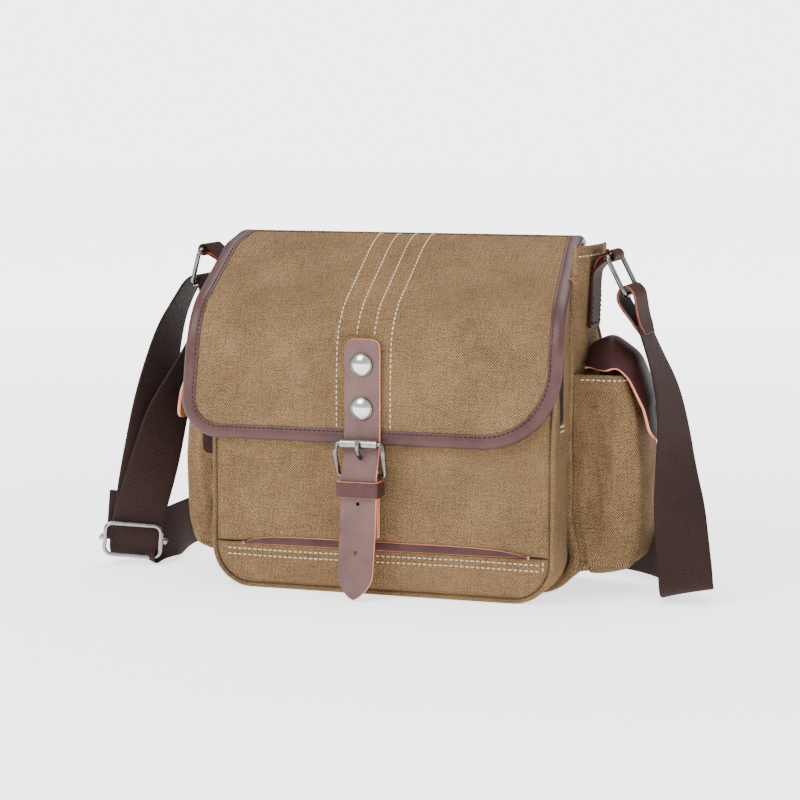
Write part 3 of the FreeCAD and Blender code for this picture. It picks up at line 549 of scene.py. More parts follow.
class Build:
    """Collects faces in millimetres and turns them into one object in metres."""

    def __init__(self):
        self.verts, self.faces, self.slots, self.uvs = [], [], [], []

    def add(self, verts, faces, uvs=None, slot=0):
        """Faces over new vertices; slot is one number or one for each face."""
        base = len(self.verts)
        self.verts.extend(map(tuple, verts))
        self.uvs.extend(map(tuple, uvs) if uvs is not None else ((0.0, 0.0) for _ in verts))
        self.faces.extend(tuple(base + i for i in face) for face in faces)
        self.slots.extend(slot if isinstance(slot, list) else [slot] * len(faces))

    def make(self, name, materials):
        """The finished object, smooth, with UVs in metres."""
        mesh = bpy.data.meshes.new(name)
        mesh.from_pydata([tuple(c * MM for c in v) for v in self.verts], [], self.faces)
        for material in materials:
            mesh.materials.append(material)
        mesh.polygons.foreach_set("material_index", self.slots)
        mesh.polygons.foreach_set("use_smooth", [True] * len(self.faces))
        layer = mesh.uv_layers.new(name="cloth")
        loops = np.zeros(len(mesh.loops), int)
        mesh.loops.foreach_get("vertex_index", loops)
        layer.data.foreach_set("uv", (np.array(self.uvs)[loops] * MM).ravel())
        whole = bmesh.new()
        whole.from_mesh(mesh)
        bmesh.ops.recalc_face_normals(whole, faces=whole.faces)
        whole.to_mesh(mesh)
        whole.free()
        made = bpy.data.objects.new(name, mesh)
        bpy.context.scene.collection.objects.link(made)
        return made


def thicken(build, points, thick, flip=False, slots=(0, 0, 0), bulge=0.3):
    """A sheet whose outer face is a grid of points: slots are outer face, inner face and rim."""
    rows, cols = points.shape[:2]
    out = normals_of(points, flip)
    under = points - out * thick
    du, dv = np.gradient(points, axis=0), np.gradient(points, axis=1)
    along = np.cumsum(np.linalg.norm(np.diff(points, axis=0, prepend=points[:1]), axis=2).mean(axis=1))
    over = np.cumsum(np.linalg.norm(np.diff(points, axis=1, prepend=points[:, :1]), axis=2), axis=1)
    over = over - over[:, cols // 2:cols // 2 + 1]
    uv = np.stack([over, np.repeat(along[:, None], cols, axis=1)], axis=2)
    loop = [(0, j) for j in range(cols)] + [(i, cols - 1) for i in range(1, rows)]
    loop += [(rows - 1, j) for j in range(cols - 2, -1, -1)] + [(i, 0) for i in range(rows - 2, 0, -1)]
    rim = []
    for i, j in loop:
        push = np.zeros(3)
        if i in (0, rows - 1):
            push += unit(du[i, j]) * (1 if i else -1)
        if j in (0, cols - 1):
            push += unit(dv[i, j]) * (1 if j else -1)
        rim.append((points[i, j] + under[i, j]) / 2 + unit(push) * thick * bulge)
    count = rows * cols
    verts = list(points.reshape(-1, 3)) + list(under.reshape(-1, 3)) + rim
    uvs = list(uv.reshape(-1, 2)) * 2 + [uv[i, j] for i, j in loop]
    faces, kinds = [], []
    for i in range(rows - 1):
        for j in range(cols - 1):
            a, b, c, d = i * cols + j, (i + 1) * cols + j, (i + 1) * cols + j + 1, i * cols + j + 1
            top, low = (a, b, c, d), (d + count, c + count, b + count, a + count)
            faces += [top[::-1], low[::-1]] if flip else [top, low]
            kinds += [slots[0], slots[1]]
    ring = len(loop)
    for k in range(ring):
        n = (k + 1) % ring
        a, b = loop[k][0] * cols + loop[k][1], loop[n][0] * cols + loop[n][1]
        m, o = 2 * count + k, 2 * count + n
        quads = [(a, b, o, m), (m, o, b + count, a + count)]
        faces += [q[::-1] for q in quads] if flip else quads
        kinds += [slots[2], slots[2]]
    build.add(verts, faces, uvs, kinds)


def sheet_piece(name, sheet, thick, toward, mats, slots=(0, 0, 0), bulge=0.3):
    """One object made of one thickened grid: toward is (row, column, direction its outer face has)."""
    row, column, direction = toward
    build = Build()
    thicken(build, sheet, thick, normals_of(sheet)[row, column] @ direction < 0, slots, bulge)
    return build.make(name, mats)


def carry(build, path, across, out, section, slot=0, closed=False):
    """A closed section of (a, b) pairs carried along a path: a lies along across, b along out."""
    count, sides = len(path), len(section)
    verts, uvs = [], []
    runs = np.cumsum([0] + [np.linalg.norm(np.subtract(path[i + 1], path[i])) for i in range(count - 1)])
    girth = np.cumsum([0] + [math.dist(section[i], section[i + 1]) for i in range(sides - 1)])
    for p, a, b, run in zip(path, across, out, runs):
        for (s, t), g in zip(section, girth):
            verts.append(np.asarray(p) + np.asarray(a) * s + np.asarray(b) * t)
            uvs.append((g, run))
    faces = []
    for i in range(count if closed else count - 1):
        for k in range(sides):
            n, j = (k + 1) % sides, (i + 1) % count
            faces.append((i * sides + k, j * sides + k, j * sides + n, i * sides + n))
    if not closed:
        faces += [tuple(range(sides)), tuple(range(len(verts) - 1, len(verts) - 1 - sides, -1))]
    build.add(verts, faces, uvs, slot)


def circle(radius, sides=8):
    """A round section."""
    return [(radius * math.cos(2 * math.pi * k / sides), radius * math.sin(2 * math.pi * k / sides))
            for k in range(sides)]


def resample(path, extra, pitch):
    """Points every pitch along a dense path, with the matching rows of extra."""
    path, extra = np.asarray(path, float), np.asarray(extra, float)
    runs = np.concatenate([[0], np.cumsum(np.linalg.norm(np.diff(path, axis=0), axis=1))])
    marks = np.arange(0, runs[-1], pitch)
    pick = [np.interp(marks, runs, path[:, k]) for k in range(3)]
    pick += [np.interp(marks, runs, extra[:, k]) for k in range(3)]
    return np.array(pick[:3]).T, np.array(pick[3:]).T


SETTLE_FRAMES = 14
STITCH = [(-0.50, -0.35), (-0.40, 0.18), (0.0, 0.34), (0.40, 0.18), (0.50, -0.35)]


def stitch(build, path, out, pitch=3.9, long=2.3, radius=0.46, slot=0):
    """A row of sewn stitches: short threads that rise from and dive into the cloth."""
    places, outs = resample(path, out, pitch)
    for here, nxt, up in zip(places[:-1], places[1:], outs[:-1]):
        ahead = unit(nxt - here)
        up = unit(up - ahead * (up @ ahead))
        middle = (here + nxt) / 2
        line = [middle + ahead * long * t + up * (h + 0.1) for t, h in STITCH]
        side = np.cross(ahead, up)
        carry(build, line, [side] * 5, [up] * 5, circle(radius, 6), slot)


def settle(points, free, slack, push, cap):
    """Cloth simulation of a grid: pinned where free is 0, larger than its space by the share slack and
    pushed outward by pressure. The result stays within cap of where it started."""
    rows, cols = points.shape[:2]
    large = 10 * MM
    mesh = bpy.data.meshes.new("settling")
    faces = [(i * cols + j, (i + 1) * cols + j, (i + 1) * cols + j + 1, i * cols + j + 1)
             for i in range(rows - 1) for j in range(cols - 1)]
    mesh.from_pydata([tuple(p * large) for p in points.reshape(-1, 3)], [], faces)
    sheet = bpy.data.objects.new("settling", mesh)
    bpy.context.scene.collection.objects.link(sheet)
    pins = sheet.vertex_groups.new(name="pins")
    for index, weight in enumerate(1.0 - free.reshape(-1)):
        pins.add([index], float(weight), "REPLACE")
    cloth = sheet.modifiers.new("cloth", "CLOTH")
    options = cloth.settings
    options.quality = 6
    options.mass = 0.4
    options.tension_stiffness = options.compression_stiffness = 25
    options.shear_stiffness = 8
    options.bending_stiffness = 1.2
    options.vertex_group_mass = "pins"
    options.shrink_min = -slack
    options.use_pressure = True
    options.uniform_pressure_force = push
    options.effector_weights.gravity = 0.15
    cloth.point_cache.frame_start, cloth.point_cache.frame_end = 1, SETTLE_FRAMES
    scene = bpy.context.scene
    for number in range(1, SETTLE_FRAMES + 1):
        scene.frame_set(number)
    evaluated = sheet.evaluated_get(bpy.context.evaluated_depsgraph_get())
    moved = np.zeros(len(mesh.vertices) * 3)
    evaluated.data.vertices.foreach_get("co", moved)
    scene.frame_set(1)
    bpy.data.objects.remove(sheet)
    bpy.data.meshes.remove(mesh)
    shift = moved.reshape(rows, cols, 3) / large - points
    size = np.linalg.norm(shift, axis=2, keepdims=True)
    return points + shift * np.minimum(1.0, cap / np.maximum(size, 1e-9))


def finish(made, body, slot, *nodes):
    """Put a piece on its body and hide the CAD pieces it stands for. The slot, the name of its finish, is
    not used.
    """
    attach(made, body)
    if nodes:
        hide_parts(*nodes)
    return made


# ---------------------------------------------------------------- flap
flap_track = Track(FLAP_PROFILE)
front_track = Track(FRONT_PROFILE)


def flap_edge():
    """The flap's outline in (arc length, x): down the left side, along the bottom, up the right."""
    long = flap_track.length
    left = [(0.0 if i == 0 else flap_track.where(1, z), x) for i, (z, x) in enumerate(FLAP_LEFT)]
    right = [(0.0 if i == 0 else flap_track.where(1, z), x) for i, (z, x) in enumerate(FLAP_RIGHT)]
    corners = [(*left[0], 0), (*left[1], 60), (*left[2], 120), (long, left[3][1], FLAP_CORNERS[0]),
               (long, right[3][1], FLAP_CORNERS[1]), (*right[2], 120), (*right[1], 150), (*right[0], 0)]
    return Track(corners)


def flap_frame(s):
    """A point of the flap's middle line, its direction and its outward normal."""
    (y, z), (ty, tz) = flap_track.at(s)
    return np.array((0, y, z)), np.array((0, ty, tz)), np.array((0, tz, -ty))


def flap_point(s, x, lift=0.0):
    """A point of the flap's outer face, with the soft unevenness of the canvas."""
    place, _, out = flap_frame(s)
    calm = soft(14, 40, abs(x - STRAP_X)) * soft(4, 30, s)
    wave = 0.9 * ripple((x, s, 0), 62, 3.1) + 0.4 * ripple((x, 1.6 * s, 0), 24, 8.2)
    return place + X_AXIS * x + out * (lift + wave * calm)


def flap_rim(outline, mark, inset):
    """A place on the flap at an inset from its outline: (point, inward, out)."""
    (s, x), (ts, tx) = outline.at(mark)
    s, x = s - tx * inset, x + ts * inset
    _, ahead, out = flap_frame(s)
    return flap_point(s, x), ahead * -tx + X_AXIS * ts, out


def over_shoulder(made, slot_name, *nodes):
    """A piece of the flap that runs over the shoulder: its transform is baked in and the CAD pieces it
    stands for are hidden.
    """
    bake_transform(made)
    if nodes:
        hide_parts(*nodes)


def make_flap(mats):
    """Canvas flap with its bound edge and its four rows of stitches."""
    outline = flap_edge()
    inset = 1.4
    rim = []
    for mark in np.linspace(0, outline.length, 700):
        (s, x), (ts, tx) = outline.at(mark)
        rim.append((s - tx * inset, x + ts * inset))
    rim = np.array(rim)
    low = rim[:, 0].max()
    turn = int(np.argmax(rim[:, 0] > low - 1e-3))
    back = len(rim) - int(np.argmax(rim[::-1, 0] > low - 1e-3))
    left, right = rim[:turn + 1], rim[back - 1:][::-1]
    rows = np.concatenate([steps(0, low - 60, 60), closing(low - 60, low, 0.03, 34)])
    sheet = np.array([[flap_point(s, x) for x in steps(np.interp(s, left[:, 0], left[:, 1]),
                                                     np.interp(s, right[:, 0], right[:, 1]), 96, 0.25)]
                      for s in rows])
    over_shoulder(sheet_piece("flap_cloth", sheet, FLAP_THICK, (10, 40, flap_frame(rows[10])[2]),
                              [mats["canvas"], mats["lining"]], (0, 1, 0)),
                  "canvas", "flap_top_panel", "flap_front_panel")

    wide = BIND_WIDE
    section = [(wide, 0.15), (wide - 0.3, 0.8), (wide - 1.5, 1.0), (wide - 2.0, 0.72), (wide - 2.5, 1.0),
               (6.0, 1.35), (3.5, 1.4), (1.6, 1.0), (0.4, 0.1), (-0.1, -1.4), (0.3, -2.9), (1.5, -4.0),
               (3.5, -4.3), (wide - 2.4, -4.0), (wide - 1.9, -3.8), (wide - 0.3, -3.9), (wide, -3.3)]
    path, inward, out = zip(*[flap_rim(outline, mark, 0.0) for mark in steps(0, outline.length, 330)])
    build = Build()
    carry(build, path, inward, out, section)
    over_shoulder(build.make("flap_bound_edge", [mats["binding"]]), "binding_leather",
                  "flap_top_binding", "flap_front_binding")

    build = Build()
    path, _, out = zip(*[flap_rim(outline, mark, wide - 2.0) for mark in steps(1, outline.length - 1, 500)])
    path, out = np.array(path), np.array(out)
    stitch(build, path + out * 0.62, out, 3.5, 2.2, 0.4)
    stitch(build, path - out * 3.9, -out, 3.5, 2.2, 0.4)
    over_shoulder(build.make("flap_edge_stitches", [mats["brown"]]), "binding_leather")

    build = Build()
    ends = (flap_track.length - BIND_WIDE, flap_track.where(1, 185))
    for row, x in enumerate(STITCH_ROWS):
        marks = steps(3, ends[row in (1, 2)], 160)
        stitch(build, [flap_point(s, x, 0.05) for s in marks], [flap_frame(s)[2] for s in marks], 3.9, 2.2)
    over_shoulder(build.make("flap_row_stitches", [mats["cream"]]), "canvas")

    root = Track([(55.4, 226, 0), (56.3, 238, 12), (56.9, 250.5, 5), (47, 253.2, 0)])
    sheet = np.array([[(x, *root.at(s)[0]) for x in steps(-134.5, 120.5, 40)]
                      for s in steps(0, root.length, 18)])
    made = sheet_piece("flap_root_cloth", sheet, 1.6, (2, 20, Y_AXIS), [mats["canvas"]])
    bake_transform(made)


# ---------------------------------------------------------------- closure strap
strap_track = Track(STRAP_PROFILE)


def strap_frame(s):
    """A point of the closure strap's middle, its direction and its outward normal."""
    (y, z), (ty, tz) = strap_track.at(s)
    return np.array((STRAP_X, y, z)), np.array((0, ty, tz)), np.array((0, tz, -ty))


def strap_half(s):
    """Half the strap's width: rounded top corners and a pointed tip."""
    corner, tip = 6.0, 19.0
    left = strap_track.length - s
    if s < corner:
        return STRAP_HALF - corner + math.sqrt(max(0.0, corner ** 2 - (corner - s) ** 2))
    if left < tip:
        return 0.6 + (STRAP_HALF - 0.6) * (1 - (1 - left / tip) ** 2) ** 0.8
    return STRAP_HALF


def drill(made, place, direction, radius):
    """A round hole through a piece."""
    build = Build()
    axis = unit(direction)
    side = np.cross(axis, X_AXIS if abs(axis[0]) < 0.9 else UP)
    path = [place - axis * 6, place + axis * 6]
    carry(build, path, [side] * 2, [np.cross(axis, side)] * 2, circle(radius, 20))
    tool = build.make("drill", [])
    cut = made.modifiers.new("hole", "BOOLEAN")
    cut.operation, cut.object, cut.solver = "DIFFERENCE", tool, "EXACT"
    bpy.context.view_layer.update()
    fresh = bpy.data.meshes.new_from_object(made.evaluated_get(bpy.context.evaluated_depsgraph_get()))
    made.modifiers.clear()
    made.data = fresh
    bpy.data.objects.remove(tool)


def make_closure(mats):
    """Closure strap, chape, keeper and the rims of the rivets."""
    long = strap_track.length
    rows = np.concatenate([steps(0, 8, 8), steps(10, long - 22, 44), closing(long - 21, long, 0.05, 20)])
    sheet = []
    for s in rows:
        place, _, out = strap_frame(s)
        half = strap_half(min(s, long - 0.05))
        curl = 1.2 * soft(long - 60, long, s)
        sheet.append([place + X_AXIS * x + out * (0.15 - curl * (x / STRAP_HALF) ** 2)
                      for x in steps(-half, half, 15, 0.5)])
    made = sheet_piece("closure_strap_leather", np.array(sheet), 2.8, (5, 7, -Y_AXIS),
                       [mats["strap"], mats["flesh"], mats["edge"]], (0, 1, 2), 0.12)
    for z in HOLE_Z:
        place, _, out = strap_frame(strap_track.where(1, z))
        drill(made, place, out, 1.4)
    finish(made, "flap_front", "strap_leather", "closure_strap")

    loop = Track([(-65.6, 43, 0), (-66.6, 64, 40), (-67.6, 91.2, 3.6), (-60.2, 91.2, 3.6), (-60.2, 43, 0)])
    sheet = np.array([[(STRAP_X + x, *loop.at(s)[0]) for x in steps(-12, 12, 9, 0.4)]
                      for s in steps(0, loop.length, 60)])
    finish(sheet_piece("chape_leather", sheet, 1.5, (2, 4, -Y_AXIS),
                       [mats["strap"], mats["flesh"], mats["edge"]], (0, 1, 2), 0.15),
           "flap_front", "strap_leather", "buckle_chape")

    (left, front, _), (right, rear, _) = span("strap_keeper")
    bend = 2.2
    ring = Track([(STRAP_X, front, 0), (left, front, bend), (left, rear, bend), (right, rear, bend),
                  (right, front, bend), (STRAP_X, front, 0)])
    sheet = np.array([[(*ring.at(s)[0], z) for z in steps(*KEEPER_Z, 7, 0.5)]
                      for s in steps(0, ring.length, 90)])
    finish(sheet_piece("keeper_leather", sheet, 1.6, (2, 3, -Y_AXIS),
                       [mats["keeper"], mats["flesh"], mats["edge"]], (0, 1, 2), 0.15),
           "strap_keeper", "keeper_leather", "strap_keeper")

    build = Build()
    face = span("closure_rivets")[1][1]
    for z in RIVET_Z:
        turns = np.linspace(0, 2 * math.pi, 40, endpoint=False)
        away = [np.array((math.cos(a), 0, math.sin(a))) for a in turns]
        ring = [np.array((STRAP_X, face - 0.75, z)) + a * 7.3 for a in away]
        carry(build, ring, away, [Y_AXIS] * 40, circle(1.0), closed=True)
    finish(build.make("rivet_rims", [mats["gunmetal"]]), "flap_front", "gunmetal")


# ---------------------------------------------------------------- body
def right_of(direction):
    """The normal on the right of a 2D direction."""
    return np.array((direction[1], -direction[0]))


def u_track(half, high, radius):
    """A U in (x, z): down the left side, along the floor and up the right."""
    return Track([(-half, high, 0), (-half, 0, radius), (half, 0, radius), (half, high, 0)])


@lru_cache(maxsize=None)
def front_top(y):
    """Height of the front compartment's upper side at a depth."""
    return 186.0 if y < -52.6 else front_track.at(front_track.where(0, y))[0][1]


@lru_cache(maxsize=None)
def under_flap(y):
    """Height of the flap's inner face at a depth, less a little room."""
    (_, z), (ty, _) = flap_track.at(flap_track.where(0, y))
    return z - (FLAP_THICK + 2.2) / abs(ty)


def half_at(height, half, corner):
    """Half width of an upright panel at a height over its lower edge, with rounded lower corners."""
    drop = min(corner, max(0.0, corner - height))
    return half - corner + math.sqrt(corner ** 2 - drop ** 2)


def wall(track, columns, tops, count, shape):
    """A grid round a U: each column is (y, inset), with its own top on the left and right."""
    sheet = []
    for t in steps(0, 1, count):
        row = []
        for (y, inset), (left_top, right_top) in zip(columns, tops):
            high = track.at(0)[0][1]
            start, stop = high - left_top, track.length - (high - right_top)
            (x, z), ahead = track.at(start + (stop - start) * t)
            out = right_of(ahead)
            x, z = x - out[0] * inset, z - out[1] * inset
            push = shape(x, y, z)
            row.append((x + out[0] * push, y, z + out[1] * push))
        sheet.append(row)
    return np.array(sheet)


def side_sag(x, y, z):
    """How the front gusset gives: folds in between its seams, most at half height."""
    middle = math.exp(-((y + 36) / 9) ** 2)
    high = soft(30, 70, z) * (1 - 0.5 * soft(150, 200, z))
    zip_sunk = 2.0 * soft(-37.5, -36.2, y) * (1 - soft(-30.8, -29.5, y)) * soft(ZIP_LOW - 4, ZIP_LOW, z)
    flat = soft(2, 14, z)
    return (-1.6 * middle * high - zip_sunk + 0.9 * ripple((x, y, z), 34, 5.5) * high) * flat


def main_sag(x, y, z):
    """How the main gusset gives: drawn in at the front seam, its right top standing open."""
    flat = soft(2, 16, z)
    flare = -DRAWN_IN * (1 - soft(SEAM_Y - 1, 12, y)) * soft(20, 60, z) * (1 - 0.4 * soft(190, 235, z))
    if x > 0:
        flare += soft(160, 247, z) * (1.2 + 3.8 * soft(-12, 34, y))
        flare -= DRAWN_IN * soft(32, 52, y) * soft(170, 196, z) * (1 - 0.7 * soft(226, 246, z))
    dent = -1.6 * soft(150, 185, z) * (1 - soft(195, 232, z)) * math.exp(-((y + 4) / 12) ** 2)
    return flat * (0.8 * ripple((x, y, z), 40, 1.5) + dent) + flare


def make_front(mats):
    """Front panel, lower band, the front gusset with its turned edge, the zip and the trim."""
    lined = [mats["canvas"], mats["lining"]]
    top_s = front_track.where(0, PANEL_TOP_Y)
    rows, cols = steps(BAND_TOP + 0.1, top_s, 64), steps(-FRONT_HALF, FRONT_HALF, 90, 0.3)

    def panel_point(s, x, lift=0.0):
        (y, z), ahead = front_track.at(s)
        return np.array((x, y, z)) + np.array((0, *(-right_of(ahead)))) * lift

    flat = grid(panel_point, rows, cols)
    free = np.array([[min(soft(0, 18, s - rows[0]), soft(0, 14, FRONT_HALF - abs(x)), soft(0, 12, top_s - s))
                      for x in cols] for s in rows])
    loose = settle(flat, free, 0.012, 0.25, 2.2)
    sheet = []
    for i, s in enumerate(rows):
        row = []
        for j, x in enumerate(cols):
            shift = loose[i, j] - flat[i, j]
            room = (1 - 0.75 * soft(96, 112, s)) * soft(9, 20, math.hypot(x - STRAP_X, s - 55))
            full = 1.1 * free[i, j] * room + 0.7 * ripple((x, s, 0), 46, 2.2) * free[i, j] * room
            edge = min(FRONT_HALF - abs(x), s - rows[0])
            tuck = -1.9 * (1 - soft(0, 3.0, edge))
            row.append(panel_point(s, x, full + tuck) + shift * room)
        sheet.append(row)
    finish(sheet_piece("front_panel_cloth", np.array(sheet), CLOTH, (5, 40, -Y_AXIS), lined, (0, 1, 0)),
           "bag", "canvas", "front_panel")

    low = 3.0
    rows = steps(low, BAND_TOP, 26)
    sheet = []
    for z in rows:
        half = half_at(z - low, FRONT_HALF, FRONT_CORNER)
        row = []
        for x in steps(-half, half, 100, 0.4):
            edge = min(half - abs(x), z - low)
            tuck = -1.8 * (1 - soft(0, 3.5, edge)) - 0.9 * (1 - soft(0, 1.2, BAND_TOP - z))
            full = 0.9 * soft(0, 10, edge) + 0.5 * ripple((x, z, 0), 38, 7.7) * soft(0, 8, edge)
            row.append((x, FRONT_Y - full - tuck, z))
        sheet.append(row)
    finish(sheet_piece("lower_band_cloth", np.array(sheet), CLOTH, (5, 40, -Y_AXIS), lined, (0, 1, 0)),
           "bag", "canvas", "front_lower_band")

    build = Build()
    for z in (BAND_TOP - 4.2, BAND_TOP - 8.6):
        line = [(x, FRONT_Y - 1.1 + 0.25 * ripple((x, z, 0), 38, 7.7), z + 0.5 * math.sin(x / 40))
                for x in steps(-FRONT_HALF + 9, FRONT_HALF - 5, 220)]
        stitch(build, line, [-Y_AXIS] * 220)
    line = [(FRONT_HALF - 4.6, FRONT_Y - 0.7, z) for z in steps(BAND_TOP - 9, BAND_TOP + 1, 20)]
    stitch(build, line, [-Y_AXIS] * 20)
    finish(build.make("band_stitches", [mats["cream"]]), "bag", "canvas")

    columns = [(FRONT_Y + 1.6, 3.4), (FRONT_Y + 0.2, 2.8), (FRONT_Y - 0.7, 1.7), (FRONT_Y - 0.3, 0.6),
               (FRONT_Y + 1.2, 0.0)]
    ys = list(steps(FRONT_Y + 4, -38.5, 7)) + [-37.5, -36.2, -35.4, -33.5, -31.6, -30.8, -29.5]
    ys += list(steps(-27, SEAM_Y - 4.4, 7))
    columns += [(y, 0.0) for y in ys] + [(SEAM_Y - 3.0, 0.8), (SEAM_Y - 2.2, 2.0)]
    tops = [(front_top(y), front_top(y)) for y, _ in columns]
    sheet = wall(u_track(FRONT_GUSSET_HALF, 240, CORNER), columns, tops, 200, side_sag)
    finish(sheet_piece("front_gusset_cloth", sheet, CLOTH, (5, 12, -X_AXIS), [mats["canvas"]]),
           "bag", "canvas", "front_gusset")

    build = Build()
    for y0, y1 in ((PANEL_TOP_Y + 0.3, ZIP_Y[0] - 0.6), (ZIP_Y[1] + 0.6, SEAM_Y - 2.6)):
        spans = (front_track.where(0, y0), front_track.where(0, y1))
        sheet = grid(lambda s, x: panel_point(s, x, -0.2 + 0.5 * ripple((x, s, 0), 30, 4.0)),
                     steps(*spans, 8), steps(-FRONT_GUSSET_HALF, FRONT_GUSSET_HALF, 60))
        thicken(build, sheet, 1.8, normals_of(sheet)[2, 30][2] < 0, (0, 1, 0))
    finish(build.make("front_cover_cloth", [mats["canvas"], mats["lining"]]), "bag", "canvas",
           "front_top_strip")

    make_zip(mats)
    make_trim(mats)


def make_zip(mats):
    """The zip's tape and its two rows of teeth, up one side, across the top and down the other."""
    y = sum(ZIP_Y) / 2
    high = front_top(y) - 0.8
    half = FRONT_GUSSET_HALF - 1.0
    line = Track([(-half, ZIP_LOW, 0), (-half, high, 9), (half, high, 9), (half, ZIP_LOW, 0)])
    marks = steps(0, line.length, 220)
    places = [line.at(s) for s in marks]
    out = [np.array((-n[1], 0, n[0])) for _, n in places]
    path = [np.array((p[0], y, p[1])) for p, _ in places]
    build = Build()
    carry(build, path, [Y_AXIS] * len(path), out, [(-4.4, -0.4), (4.4, -0.4), (4.4, 0.2), (-4.4, 0.2)])
    pitch = 1.7
    for k in range(int(line.length / pitch)):
        (x, z), ahead = line.at(k * pitch + 0.8)
        normal = np.array((-ahead[1], 0, ahead[0]))
        way = np.array((ahead[0], 0, ahead[1]))
        side = 1 if k % 2 else -1
        middle = np.array((x, y, z)) + normal * 0.55
        tooth = [middle + Y_AXIS * side * d + normal * h
                 for d, h in ((2.6, -0.3), (1.6, 0.35), (-0.7, 0.35))]
        carry(build, tooth, [way] * 3, [normal] * 3, circle(0.58, 6), slot=1)
    finish(build.make("zip_chain", [mats["tape"], mats["coil"]]), "bag", "zip_coil", "zip_coil")

    build = Build()
    for side in (-1, 1):
        for z in (ZIP_LOW - 1.5, ZIP_LOW - 5.0):
            line = [(side * (FRONT_GUSSET_HALF + 0.1), y2, z) for y2 in steps(-40, -27, 12)]
            stitch(build, line, [X_AXIS * side] * 12, 3.5, 2.0, 0.42)
    finish(build.make("zip_end_stitches", [mats["cream"]]), "bag", "canvas")


def make_trim(mats):
    """The long leather lens above the lower band, with its cut upper edge."""
    (x0, y0, z0), (x1, _, z1) = span("front_trim")
    sheet = []
    for x in steps(x0, x1, 120, 0.8):
        t = (x - x0) / (x1 - x0)
        rise = (z1 - z0) * (1 - abs(2 * t - 1) ** (9 if t < 0.5 else 5)) ** 0.8
        low = z0 - 0.2 + 1.0 * t
        sheet.append([(x, y0 - 0.35 - 0.25 * math.sin(math.pi * v), low + max(0.2, rise) * v)
                      for v in steps(0, 1, 6)])
    finish(sheet_piece("trim_leather", np.array(sheet), 1.5, (40, 3, -Y_AXIS), [mats["trim"], mats["edge"]],
                       (0, 0, 1)), "bag", "binding_leather", "front_trim")


